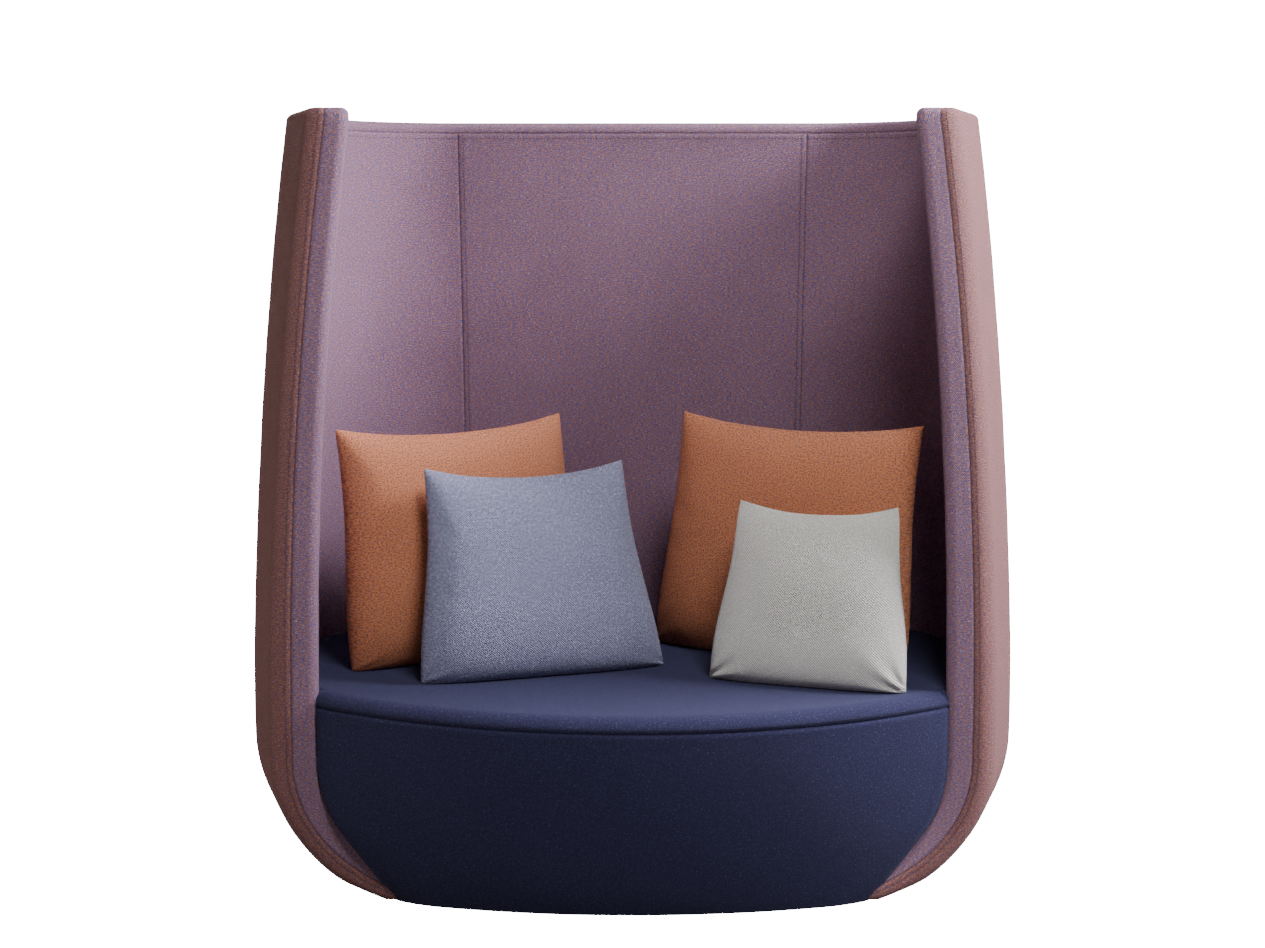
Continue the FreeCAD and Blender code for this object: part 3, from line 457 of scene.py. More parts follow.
def spread(length: float, near: tuple[float, ...], count: int,
           ends: tuple[bool, bool] = (True, True)) -> np.ndarray:
    """Places along a line, close together beside a seam.

    Args:
        length: Length of the line.
        near: Distances from a seam that get a place of their own, from 0 up.
        count: Number of even steps in between.
        ends: Whether the line's start and its end are seams.

    Returns:
        The places, from 0 to the length.
    """
    first = np.array(near) if ends[0] else np.array([0.0])
    last = length - np.array(near)[::-1] if ends[1] else np.array([length])
    return np.concatenate([first, np.linspace(first[-1], last[0], count + 1)[1:-1], last])


def bell(distance: float | np.ndarray, width: float) -> float | np.ndarray:
    """A bell curve, 1 at no distance and fading to 0 over the width."""
    return np.exp(-(distance / width) ** 2)


def seam_offset(distance: np.ndarray, dip: float, width: float) -> np.ndarray:
    """Offset outwards by which padded cloth drops into a seam and swells beside it."""
    swell = SWELL_SHARE * dip * bell(distance - SWELL_PLACE * width, SWELL_SPREAD * width)
    return swell - dip * bell(distance, width)


def dome(share: np.ndarray, fullness: float | np.ndarray, edge: float) -> np.ndarray:
    """Height of a filled cover: 1 in the middle, 0 at a share of 1, with powers for fullness and edge."""
    return np.clip(1 - np.abs(share) ** fullness, 0, 1) ** edge


def grid_normals(points: np.ndarray) -> np.ndarray:
    """Unit normals of a grid of points, rows by columns."""
    normals = np.cross(np.gradient(points, axis=1), np.gradient(points, axis=0))
    return normals / np.maximum(np.linalg.norm(normals, axis=2, keepdims=True), TINY)


def rumple(points: np.ndarray, normals: np.ndarray, amount: float, scale: float, seed: float) -> np.ndarray:
    """Give a stretched cloth the slight unevenness of padding under it.

    Args:
        points: Rows by columns of points.
        normals: Their outward normals.
        amount: Greatest height of the unevenness.
        scale: Its fineness, per metre.
        seed: Shifts the pattern.

    Returns:
        The moved points.
    """
    flat = points.reshape(-1, 3)
    heights = np.array([noise.noise(Vector((x * scale + seed, y * scale, z * scale))) for x, y, z in flat])
    return points + normals * (heights.reshape(points.shape[:2]) * amount)[..., None]


@dataclass
class Panel:
    """A cloth panel as grids of rows by columns, with its painted seam shade 1 on a seam."""

    points: np.ndarray
    chart: np.ndarray
    painted_seam_shade: np.ndarray
    normals: np.ndarray | None = None

    def mirrored(self) -> "Panel":
        """The left-hand copy of a right-hand panel, with its normals still outwards."""
        return Panel((self.points * FLIP)[:, ::-1], self.chart[:, ::-1], self.painted_seam_shade[:, ::-1])

    def lay(self, name: str, thickness: float) -> bpy.types.Object:
        """Make the piece from a grid primitive, with its points laid in place and its thickness added.

        Args:
            name: The piece's name.
            thickness: The cloth's thickness, inwards.

        Returns:
            The finished piece.
        """
        rows, columns = self.points.shape[:2]
        clear_selection()
        bpy.ops.mesh.primitive_grid_add(x_subdivisions=columns - 1, y_subdivisions=rows - 1, size=2,
                                        calc_uvs=True)
        piece = bpy.context.object
        piece.name = piece.data.name = name
        mesh = piece.data
        flat = points_of(piece)
        column = np.rint((flat[:, 0] + 1) / 2 * (columns - 1)).astype(int)
        row = np.rint((flat[:, 1] + 1) / 2 * (rows - 1)).astype(int)
        corners = np.empty(len(mesh.loops), dtype=int)
        mesh.loops.foreach_get("vertex_index", corners)
        mesh.uv_layers[0].name = "weave"
        mesh.uv_layers[0].data.foreach_set("uv", self.chart[row, column][corners].ravel())
        # Painted shade: the seam attribute darkens the cloth along seams and stitch lines.
        layer = mesh.attributes.new("seam", "FLOAT", "POINT")
        layer.data.foreach_set("value", self.painted_seam_shade[row, column].astype(np.float32))
        place_points(piece, self.points[row, column])
        finish_modifier(piece, "SOLIDIFY", thickness=thickness, offset=-1.0)
        pick(piece)
        bpy.ops.object.shade_smooth_by_angle(angle=SMOOTH_ANGLE)
        return piece


def dress(piece: bpy.types.Object, material: bpy.types.Material, slot: str, body: str, *nodes: str) -> None:
    """Give a piece its material and the body that it moves with.

    Args:
        piece: The finished piece.
        material: Its material.
        slot: Not used.
        body: The body that it rides on.
        nodes: Frame nodes that it stands for.
    """
    piece.data.materials.clear()
    piece.data.materials.append(material)
    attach(piece, body)
    if nodes:
        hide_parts(*nodes)
    log.info("piece %s: %d faces", piece.name, len(piece.data.polygons))


@dataclass
class Stitching:
    """A row of machine stitches along a line on the cloth."""

    length: float = 0.0042
    gap: float = 0.0022
    radius: float = 0.0007

    def grain(self) -> tuple[np.ndarray, list[tuple[int, ...]]]:
        """Model one stitch: a small sphere drawn out along X.

        Returns:
            Its points and faces, in an order that is the same each time.
        """
        clear_selection()
        bpy.ops.mesh.primitive_uv_sphere_add(segments=6, ring_count=4, radius=self.radius)
        sample = bpy.context.object
        with editing(sample):
            bpy.ops.transform.rotate(value=math.pi / 2, orient_axis="Y", center_override=(0, 0, 0))
            bpy.ops.transform.resize(value=(self.length / (2 * self.radius), 1.0, 1.0))
        points = points_of(sample)
        order = np.lexsort(points.T.round(9))
        rank = np.argsort(order).tolist()
        faces = [[rank[index] for index in polygon.vertices] for polygon in sample.data.polygons]
        starts = [face.index(min(face)) for face in faces]
        bpy.data.objects.remove(sample)
        return points[order], sorted((*face[start:], *face[:start]) for face, start in zip(faces, starts))

    def sew(self, name: str, lines: list[tuple[np.ndarray, np.ndarray]]) -> bpy.types.Object:
        """Copy the stitch along lines.

        Args:
            name: The piece's name.
            lines: Points of each line and the cloth's outward normals there.

        Returns:
            All the stitches as one piece.
        """
        points, faces = self.grain()
        places, indices = [], []
        for line, normals in lines:
            run = lengths(line)
            spots = np.arange(self.length, run[-1] - self.length, self.length + self.gap)
            centre = along_path(spots, run, line)
            out = along_path(spots, run, normals)
            along = along_path(spots + self.length / 2, run, line) - centre
            along /= np.linalg.norm(along, axis=1, keepdims=True)
            across = np.cross(out, along)
            across /= np.linalg.norm(across, axis=1, keepdims=True)
            out = np.cross(along, across)
            for middle, x_axis, y_axis, z_axis in zip(centre, along, across, out):
                base = len(places) * len(points)
                places.append(middle + points[:, :1] * x_axis + points[:, 1:2] * y_axis
                              + points[:, 2:] * z_axis)
                indices += [tuple(base + index for index in face) for face in faces]
        mesh = bpy.data.meshes.new(name)
        mesh.from_pydata(np.concatenate(places).tolist(), [], indices)
        piece = bpy.data.objects.new(name, mesh)
        bpy.context.scene.collection.objects.link(piece)
        with editing(piece):
            bpy.ops.mesh.normals_make_consistent(inside=False)
        pick(piece)
        bpy.ops.object.shade_smooth()
        return piece


# The shell


@dataclass
class Row:
    """One level line of a panel: its place on the profile, and how far it has come in over the rim."""

    run: float
    along: float
    inset: float = 0.0
    height: float | None = None

    def level(self, height: float) -> float:
        """Height of the line: its own where it has one, or else the profile's."""
        return height if self.height is None else self.height


@dataclass
class ShellForm:
    """The wall that wraps round the seat: an upright profile carried round the plan."""

    half_back: float = 0.382
    corner: float = 0.410
    toe: float = math.radians(20)
    axis_y: float = 0.050
    front_y: float = -0.270
    belly: float = 0.280
    bowl: float = 0.290
    lean: float = 8.9
    wall: float = 0.0716
    floor: float = 0.006
    rim: float = 1.550
    shoulder: float = 0.014
    top_seam: float = 1.5265
    roll: float = 0.038
    inner_roll: float = 0.018
    seam_depth: float = 0.0295
    seam_back: float = 0.010
    front_swell: float = 0.015
    front_swell_top: float = 0.004
    swell_run: float = 0.20
    plump: float = 0.009
    plump_rise: float = 0.10
    plump_fade: float = 0.45
    foot_rise: float = 0.22
    foot_roll: float = 0.014
    foot_reach: float = 0.026
    turn_under: float = 0.046
    rim_turns: int = 7
    rim_flat: tuple[float, ...] = (0.0015, 0.003, 0.004)
    band_tuck: float = 0.028
    least_roll: float = 0.002
    roll_room: float = 0.95
    roll_steps: int = 15
    under_rows: int = 5

    def height_to_run(self, height: float, depth: float = 0.0) -> float:
        """Length along the outer profile from the belly, upwards.

        Args:
            height: Height above the floor.
            depth: Depth inside the outer face.

        Returns:
            The length, below zero in the bowl.
        """
        if height >= self.belly:
            return self.lean * math.asin((height - self.belly) / (self.lean - depth))
        return -self.bowl * math.asin(min((self.belly - height) / (self.bowl - depth), 1.0))

    def profile(self, run: float, depth: float) -> tuple[float, float]:
        """One point of the profile.

        Args:
            run: Length along the outer profile from the belly.
            depth: Depth inside the outer face.

        Returns:
            Distance from the corner axis, and height.
        """
        if run >= 0:
            angle = run / self.lean
            reach = self.lean - depth
            return self.corner - self.lean + reach * math.cos(angle), self.belly + reach * math.sin(angle)
        foot = self.height_to_run(self.floor)
        angle = -max(run, foot) / self.bowl
        reach = self.bowl - depth
        under = max(foot - run, 0.0)
        return self.corner - self.bowl + reach * math.cos(angle) - under, self.belly - reach * math.sin(angle)

    def from_foot(self, run: float, reach: float) -> float:
        """Share of the way from the foot up to a given reach along the profile."""
        return clamp((run - self.height_to_run(self.floor)) / reach)

    def swell(self, run: float) -> float:
        """How far the lining stands out at the front edge; less towards the top."""
        return self.front_swell + (self.front_swell_top - self.front_swell) * clamp(run / self.rim)

    def fullness(self, row: Row) -> float:
        """Depth of the outer cloth, which stands proud round the belly and comes in over the rim."""
        rise = ease(self.from_foot(row.run, self.plump_rise))
        return row.inset - self.plump * rise * bell(max(row.run, 0.0), self.plump_fade)

    def roll_radius(self, run: float) -> float:
        """Radius of the outer front corner, which tightens towards the floor."""
        return self.foot_roll + (self.roll - self.foot_roll) * self.from_foot(run, self.foot_rise)

    def rows_over_rim(self, count: int) -> list[Row]:
        """Rows of an outer panel: from under the foot up the profile, round the shoulder and onto the rim.

        Args:
            count: Number of even steps up the profile.

        Returns:
            The rows, from the floor up.
        """
        foot = self.height_to_run(self.floor)
        last = self.height_to_run(self.rim - self.shoulder)
        rows = [Row(foot - under, foot - under)
                for under in np.linspace(self.turn_under, 0.0, self.under_rows)[:-1]]
        rows += [Row(run, run) for run in np.linspace(foot, last, count + 1)]
        for turn in np.linspace(0.0, math.pi / 2, self.rim_turns + 1)[1:]:
            rows.append(Row(last, last + self.shoulder * turn, self.shoulder * (1 - math.cos(turn)),
                            self.rim - self.shoulder * (1 - math.sin(turn))))
        for step in self.rim_flat:
            rows.append(Row(last, last + self.shoulder * math.pi / 2 + step, self.shoulder + step, self.rim))
        return rows

    def corner_points(self, row: Row, depth: float, turns: np.ndarray) -> np.ndarray:
        """Points round the right-hand rear corner, at angles from straight back, clockwise from above."""
        radius, height = self.profile(row.run, depth)
        return np.stack([self.half_back + radius * np.sin(turns), self.axis_y + radius * np.cos(turns),
                         np.full_like(turns, row.level(height))], axis=1)

    def side_points(self, row: Row, section: np.ndarray) -> np.ndarray:
        """Points of the right-hand side run.

        Args:
            row: The level line.
            section: Depths, and distances forward from where the corner ends.

        Returns:
            The points.
        """
        points = []
        for depth, ahead in section:
            radius, height = self.profile(row.run, depth)
            points.append((self.half_back + radius * math.cos(self.toe) - ahead * math.sin(self.toe),
                           self.axis_y - radius * math.sin(self.toe) - ahead * math.cos(self.toe),
                           row.level(height)))
        return np.array(points)

    def back_line(self, row: Row, depth: float, share: float) -> Place:
        """A point of the straight back, from a share of -1 at the left-hand corner to 1 at the other."""
        radius, height = self.profile(row.run, depth)
        return share * self.half_back, self.axis_y + radius, row.level(height)

    def front_ahead(self, run: float, depth: float) -> float:
        """Distance forward from the corner's end to the front plane.

        Args:
            run: Length along the outer profile from the belly.
            depth: Depth inside the outer face.

        Returns:
            The distance.
        """
        radius = self.profile(run, depth)[0]
        front = self.front_y - self.foot_reach * (1 - self.from_foot(run, self.foot_rise)) ** 2
        return (self.axis_y - radius * math.sin(self.toe) - front) / math.cos(self.toe)

    def front_section(self, row: Row) -> dict[str, np.ndarray]:
        """Level outline of the wall's front end, as depth and distance forward.

        Args:
            row: The level line.

        Returns:
            Stretches: outer, from the roll to the front seam, and band, on round the inner corner.
        """
        inset = row.inset
        start = self.fullness(row)
        thick = self.wall + self.swell(row.run) - inset
        first = self.front_ahead(row.run, start) - inset / math.cos(self.toe)
        last = self.front_ahead(row.run, thick) - inset / math.cos(self.toe)
        slope = np.array([thick - start, last - first])
        slope /= np.linalg.norm(slope)
        turn = math.acos(slope[1])

        def bend(tip: np.ndarray, radius: float, start: np.ndarray, side: np.ndarray,
                 angle: float) -> np.ndarray:
            """Round off a corner of the outline."""
            centre = tip - radius * math.tan(angle / 2) * start + radius * side
            steps = np.linspace(0.0, angle, self.roll_steps)[:, None]
            return centre + radius * (-side * np.cos(steps) + start * np.sin(steps))

        corner, inner = np.array([start, first]), np.array([thick, last])
        room = self.roll_room * (self.seam_depth - start) / (math.tan(turn / 2) * slope[0])
        outer_radius = min(self.roll_radius(row.run) - inset, room)
        roll = bend(corner, outer_radius, np.array([0.0, 1.0]), np.array([1.0, 0.0]), turn)
        inner_radius = max(self.inner_roll - inset, self.least_roll)
        inner_roll = bend(inner, inner_radius, slope, np.array([slope[1], -slope[0]]), math.pi - turn)
        seam = corner + slope * ((self.seam_depth - start) / slope[0])
        tip = np.array([thick, self.band_end(row)])
        return {"outer": np.concatenate([roll, seam[None, :]]),
                "band": np.concatenate([seam[None, :], inner_roll, tip[None, :]])}

    def band_end(self, row: Row) -> float:
        """How far forward from the corner's end the front band meets the lining."""
        return self.front_ahead(row.run, self.wall + self.swell(row.run)) - self.band_tuck - self.seam_back

    def lining_depth(self, run: float, behind: float) -> float:
        """Depth of the lining, which stands out a little towards the front band that it lies behind."""
        return self.wall + self.swell(run) * ease(clamp(1 - behind / self.swell_run))


@dataclass
class ShellUpholstery:
    """Cloth panels of the shell, with their seams and topstitching."""

    form: ShellForm
    lining: bpy.types.Material
    # The darker, warmer copy of the shell cloth for the outer panels: painted shade.
    outer: bpy.types.Material
    thread: bpy.types.Material
    near: tuple[float, ...] = (0.0, 0.0012, 0.0026, 0.006, 0.0098, 0.0112, 0.0126, 0.016, 0.024)
    stitch_place: int = 5
    stitch_lift: float = 0.0003
    dip: float = 0.0013
    dip_width: float = 0.0022
    # Width of the painted shade along each seam, and the strength of the second painted shade line along the
    # stitches beside it.
    line: float = 0.0013
    twin_shade: float = 0.6
    thickness: float = 0.0028
    unevenness: float = 0.0007
    uneven_scale: float = 9.0
    lowest: float = 0.002
    lining_low: float = 0.345
    outer_rows: int = 72
    lining_rows: int = 54
    back_columns: int = 40
    outer_columns: int = 66
    lining_columns: int = 60
    band_columns: int = 14
    corner_steps: int = 70
    straight_steps: int = 30
    band_chart: float = 1.3
    lining_back_chart: float = 2.5
    lining_side_chart: float = 3.4
    rim_tuck: float = 0.012
    rim_tuck_run: float = 0.06
    rim_tuck_edge: float = 0.25
    rim_near: tuple[float, ...] = (0.0, 0.0012, 0.003, 0.008, 0.016, 0.028)
    rim_even: float = 0.045
    rim_side_steps: int = 12
    rim_corner_steps: int = 40
    rim_back_steps: int = 31
    rim_drop: float = 0.0006
    rim_under: float = 0.003
    rim_flat_steps: int = 14
    rim_bend_steps: int = 9
    rim_inside: tuple[float, ...] = (0.3, 0.6, 0.8, 0.9, 1.0)
    stitches: list[tuple[np.ndarray, np.ndarray]] = field(default_factory=list)

    def build(self) -> None:
        """Make and dress every panel of the shell."""
        self.outer_panels()
        self.lining_panels()
        self.rim_band()
        piece = Stitching().sew("shell_topstitching", self.stitches)
        dress(piece, self.thread, "shell_fabric", "sofa")

    def panel(self, paths: list[np.ndarray], along: np.ndarray, count: int,
              twin: tuple[bool, bool, bool] = (False, False, False),
              chart_start: float = 0.0, over: int = 0) -> Panel:
        """Lay one panel on level paths, dipped into the seams at its two ends and its top.

        Args:
            paths: One level path for each row, drawn so that the normals point outwards.
            along: The rows' lengths up the panel.
            count: Number of even steps along the paths.
            twin: Whether a second line of painted shade runs along the stitches beside the first seam, the
                last one and the top one.
            chart_start: Where the weave map starts along the path.
            over: Number of rows at the top that keep the columns of the row below them.

        Returns:
            The panel.
        """
        grid, chart, gaps = [], [], []
        for number, (path, run) in enumerate(zip(paths, along)):
            steps = lengths(path)
            corners = np.arange(len(steps))
            if number < len(paths) - over:
                places = spread(steps[-1], self.near, count)
                columns = np.interp(places, steps, corners)
            else:
                places = np.interp(columns, corners, steps)
            grid.append(along_path(places, steps, path))
            chart.append(np.stack([chart_start + places, np.full_like(places, run)], axis=1))
            gaps.append(np.stack([places, steps[-1] - places, np.full_like(places, along[-1] - run)], axis=1))
        points, gap = np.array(grid), np.array(gaps)
        normals = grid_normals(points)
        points = points + normals * seam_offset(gap.min(axis=2), self.dip, self.dip_width)[..., None]
        points = rumple(points, normals, self.unevenness, self.uneven_scale, chart_start)
        points[..., 2] = np.clip(points[..., 2], self.lowest, self.form.rim)
        # Painted shade along the seams, and a second painted shade line along the stitches beside them.
        painted_seam_shade = bell(gap, self.line).max(axis=2)
        for number, second in enumerate(twin):
            if second:
                beside = gap[..., number] - self.near[self.stitch_place]
                painted_seam_shade = np.maximum(painted_seam_shade, self.twin_shade * bell(beside, self.line))
        return Panel(points, np.array(chart), painted_seam_shade, normals)

    def stitch(self, panel: Panel, place: int | tuple[slice, int], flip: bool = False) -> None:
        """Note a line of topstitching on a panel.

        Args:
            panel: The panel.
            place: The row or column of its grid that is sewn.
            flip: Whether the panel's left-hand copy is sewn too.
        """
        normals = panel.normals[place]
        points = panel.points[place] + normals * self.stitch_lift
        self.stitches.append((points, normals))
        if flip:
            self.stitches.append((points * FLIP, normals * FLIP))

    def stitch_ends(self, panel: Panel) -> None:
        """Note the topstitching beside the two upright seams of a panel."""
        for column in (self.stitch_place, -1 - self.stitch_place):
            self.stitch(panel, np.s_[:, column])

    def hang(self, name: str, panel: Panel, *nodes: str) -> None:
        """Make and dress one panel.

        Args:
            name: The piece's name.
            panel: Its grids.
            nodes: Frame nodes that it stands for.
        """
        piece = panel.lay(name, self.thickness)
        # Outer panels take the darker, warmer copy of the shell cloth, which paints shade on them.
        dress(piece, self.outer if name.startswith("outer") else self.lining, "shell_fabric", "sofa", *nodes)

    def pair(self, stem: str, panel: Panel, *nodes: str) -> None:
        """Make a right-hand panel and its left-hand copy.

        Args:
            stem: The pieces' name without its side.
            panel: Grids of the right-hand panel.
            nodes: Frame nodes that the panel stands for, without their side.
        """
        for side in Side:
            word = side.name.lower()
            copy = panel if side is Side.RIGHT else panel.mirrored()
            self.hang(f"{stem}_{word}", copy, *(f"{node}_{word}" for node in nodes))

    def corner_turns(self) -> np.ndarray:
        """Angles round the rear corner, from straight back to the start of the side run."""
        return np.linspace(0.0, math.pi / 2 + self.form.toe, self.corner_steps)

    def outer_panels(self) -> None:
        """Outer back, and outer sides that roll round the front corners to the seams of the front bands."""
        form = self.form
        rows = form.rows_over_rim(self.outer_rows)
        over = form.rim_turns + len(form.rim_flat)
        along = np.array([row.along for row in rows])
        back, side, band = [], [], []
        for row in rows:
            depth = form.fullness(row)
            back.append(np.array([form.back_line(row, depth, 1), form.back_line(row, depth, -1)]))
            section = form.front_section(row)
            corner = form.corner_points(row, depth, self.corner_turns())
            side.append(np.concatenate([corner, form.side_points(row, section["outer"])])[::-1])
            band.append(form.side_points(row, section["band"])[::-1])
        panel = self.panel(back, along, self.back_columns, (True, True, False), over=over)
        self.hang("outer_back_panel", panel, "outer_cover_back")
        self.stitch_ends(panel)
        panel = self.panel(side, along, self.outer_columns, (True, False, False), over=over)
        self.stitch(panel, np.s_[:, self.stitch_place], flip=True)
        self.pair("outer_side_panel", panel, "outer_cover", "edge_roll")
        panel = self.panel(band, along, self.band_columns, chart_start=self.band_chart, over=over)
        self.pair("front_band", panel, "edge_band")

    def lining_panels(self) -> None:
        """Inner back panel and inner side panels."""
        form = self.form
        start = form.height_to_run(self.lining_low, form.wall)
        length = form.height_to_run(form.top_seam, form.wall) - start
        along = start + spread(length, self.near, self.lining_rows, (False, True))
        back, side = [], []
        for run in along:
            row = Row(run, run)
            back.append(np.array([form.back_line(row, form.wall, -1), form.back_line(row, form.wall, 1)]))
            end = form.band_end(row)
            straight = np.array([(form.lining_depth(run, end - ahead), ahead)
                                 for ahead in np.linspace(0.0, end, self.straight_steps)[1:]])
            corner = form.corner_points(row, form.wall, self.corner_turns())
            side.append(np.concatenate([corner, form.side_points(row, straight)]))
        top = -1 - self.stitch_place
        panel = self.panel(back, along, self.back_columns, (True, True, False), self.lining_back_chart)
        self.hang("lining_back_panel", panel, "lining_back")
        self.stitch_ends(panel)
        self.stitch(panel, top)
        panel = self.panel(side, along, self.lining_columns, chart_start=self.lining_side_chart)
        self.stitch(panel, top, flip=True)
        self.pair("lining_side_panel", panel, "lining")

    def rim_band(self) -> None:
        """Flat of the rim and its inner edge, from one front end to the other."""
        form = self.form
        row = Row(form.height_to_run(form.rim - form.shoulder), 0.0)
        end = form.band_end(row)
        half = []
        for behind in (*self.rim_near, *np.linspace(self.rim_even, end, self.rim_side_steps)):
            outline = self.rim_outline(form.lining_depth(row.run, behind))
            flat_end = outline[-1][0] - form.shoulder
            fade = max(1 - behind / self.rim_tuck_run, 0.0)
            section = []
            for depth, _ in outline:
                under = form.front_ahead(row.run, depth) - self.rim_tuck - end
                share = clamp((flat_end - depth) / (self.rim_tuck_edge * form.shoulder)) * fade
                section.append((depth, end - behind + under * share))
            half.append(form.side_points(row, np.array(section)))
            half[-1][:, 2] = outline[:, 1]
        outline = self.rim_outline(form.wall)
        for turn in np.linspace(math.pi / 2 + form.toe, 0.0, self.rim_corner_steps)[1:]:
            spot = np.array([turn])
            half.append(np.concatenate([form.corner_points(row, depth, spot) for depth, _ in outline]))
            half[-1][:, 2] = outline[:, 1]
        right = np.array(half)
        middle = np.array([right[-1] * (1 - share) + right[-1] * FLIP * share
                           for share in np.linspace(0.0, 1.0, self.rim_back_steps)[1:-1]])
        points = np.concatenate([right, middle, right[::-1] * FLIP]).transpose(1, 0, 2)
        across, along = lengths(points[:, points.shape[1] // 2]), lengths(points[0])
        gap = (across[-1] - across)[:, None] * np.ones(points.shape[1])
        points = points + grid_normals(points) * seam_offset(gap, self.dip, self.dip_width)[..., None]
        chart = np.stack(np.meshgrid(along, across), axis=2)
        # Painted shade along the seam on the inside of the rim.
        self.hang("rim_band", Panel(points, chart, bell(gap, self.line)), "top_band")

    def rim_outline(self, high: float) -> np.ndarray:
        """Cross-section of the rim band, from under the outer panels to the seam on the inside.

        Args:
            high: Depth of its inner side.

        Returns:
            Depths and heights.
        """
        form = self.form
        top = form.rim - self.rim_drop
        low = form.shoulder - self.rim_under
        flat = [(low + (high - form.shoulder - low) * share, top)
                for share in np.linspace(0.0, 1.0, self.rim_flat_steps)]
        bend = [(high - form.shoulder * (1 - math.cos(turn)), top - form.shoulder * (1 - math.sin(turn)))
                for turn in np.linspace(math.pi / 2, 0.0, self.rim_bend_steps)[1:]]
        foot = bend[-1][1]
        side = [(high, foot + (form.top_seam - foot) * share) for share in self.rim_inside]
        return np.array(flat + bend + side)


# The seat


@dataclass
class SeatUpholstery:
    """Seat cover with its rounded lip, and the bowed fascia under it."""

    form: ShellForm
    cloth: bpy.types.Material
    thread: bpy.types.Material
    top: float = 0.425
    lip_round: float = 0.028
    seam: float = 0.395
    lip_y: float = -0.460
    lip_radius: float = 1.1253
    back_y: float = 0.386
    side_gap: float = 0.0746
    fascia_levels: tuple[tuple[float, float, float], ...] = (
        (0.395, -0.460, 1.1253), (0.283, -0.448, 1.197), (0.006, -0.368, 1.725))
    fascia_half: float = 0.6225
    fascia_bend: float = 0.224
    fascia_turn: float = math.radians(37.5)
    fascia_corner: float = 0.013
    corner_from: float = 0.8
    corner_high: float = 0.16
    near: tuple[float, ...] = (0.0, 0.0015, 0.003, 0.0045, 0.0065, 0.009, 0.014, 0.02)
    cover_near: tuple[float, ...] = (0.0, 0.004, 0.01, 0.02, 0.035)
    fascia_near: tuple[float, ...] = (0.0, 0.003, 0.007, 0.012, 0.02, 0.035)
    inner: float = 0.94
    columns: int = 90
    skirt: tuple[float, ...] = (0.0, 0.001, 0.002)
    lip_steps: int = 16
    back_near: tuple[float, ...] = (0.006, 0.014, 0.025)
    back_even: float = 0.045
    back_steps: int = 46
    widening: float = 8.0
    fascia_rows: int = 44
    seam_dip: tuple[float, float] = (0.003, 0.0035)
    cover_dip: tuple[float, float] = (0.004, 0.012)
    fascia_dip: tuple[float, float] = (0.003, 0.008)
    cover_rumple: tuple[float, float, float] = (0.0006, 7.0, 3.0)
    fascia_rumple: tuple[float, float, float] = (0.0008, 6.0, 8.0)
    cover_tuck: tuple[Place, ...] = ((0.003, 0.004, -0.008), (0.003, 0.030, -0.035))
    fascia_tuck: tuple[Place, ...] = ((-0.001, 0.006, 0.0), (-0.006, 0.018, 0.0), (-0.014, 0.050, 0.0))
    fascia_hem: Place = (0.0, 0.024, 0.003)
    # Width of the painted shade along the seam under the lip.
    line: float = 0.0013
    thickness: float = 0.0028
    stitch_row: int = 4
    stitch_lift: float = 0.0003
    stitch_radius: float = 0.0006

    def build(self) -> None:
        """Make and dress the seat cover, the fascia and the stitches beside their seam."""
        points, normals = self.seat_cover()
        self.fascia()
        piece = Stitching(radius=self.stitch_radius).sew(
            "seat_topstitching", [(points + normals * self.stitch_lift, normals)])
        dress(piece, self.thread, "seat_fabric", "sofa")

    def shares(self, near: tuple[float, ...]) -> np.ndarray:
        """Shares across a panel from -1 to 1, close together at its two sides."""
        side = np.array(near)
        return np.concatenate([-1 + side, np.linspace(-self.inner, self.inner, self.columns), 1 - side[::-1]])

    def half_width(self, y: float) -> float:
        """Half of the seat's width between the linings.

        Args:
            y: Place from front to back.

        Returns:
            The half width.
        """
        form = self.form
        radius = form.corner - self.side_gap
        if y > form.axis_y - radius * math.sin(form.toe):
            return form.half_back + math.sqrt(max(radius ** 2 - (y - form.axis_y) ** 2, 0.0))
        return form.half_back + radius / math.cos(form.toe) - (form.axis_y - y) * math.tan(form.toe)

    def seat_cover(self) -> tuple[np.ndarray, np.ndarray]:
        """Lay the cover from the seam under the lip, over the lip and back between the linings.

        Returns:
            Points and normals of the line that is topstitched.
        """
        across = self.shares(self.cover_near)
        bend = np.linspace(0.0, math.pi / 2, self.lip_steps)[1:]
        inward = np.concatenate([np.zeros(len(self.skirt)), self.lip_round * (1 - np.cos(bend))])
        height = np.concatenate([self.seam + np.array(self.skirt),
                                 self.top - self.lip_round + self.lip_round * np.sin(bend)])
        front_half = self.half_width(self.form.front_y)
        points = []
        for inset, level in zip(inward, height):
            points.append([self.front_spot(share * front_half, inset, level) for share in across])
        for step in (*self.back_near, *np.linspace(self.back_even, 1.0, self.back_steps)):
            row = []
            for share in across:
                start = self.front_spot(share * front_half, self.lip_round, self.top)
                y = start[1] + (self.back_y - start[1]) * step
                half = self.half_width(y)
                if y < self.form.front_y:
                    half = front_half + (half - front_half) * min(1.0, step * self.widening)
                row.append((share * half, y, self.top))
            points.append(row)
        grid = np.array(points)
        normals = grid_normals(grid)
        drop = lengths(grid[:, len(across) // 2])
        side = (1 - np.abs(across)) * front_half
        offset = seam_offset(drop, *self.seam_dip)[:, None]
        offset = offset + np.minimum(0, seam_offset(side, *self.cover_dip))[None, :]
        grid = rumple(grid + normals * offset[..., None], normals, *self.cover_rumple)
        grid[..., 2] = np.minimum(grid[..., 2], self.top)
        whole = self.turned_in(grid, self.cover_tuck)
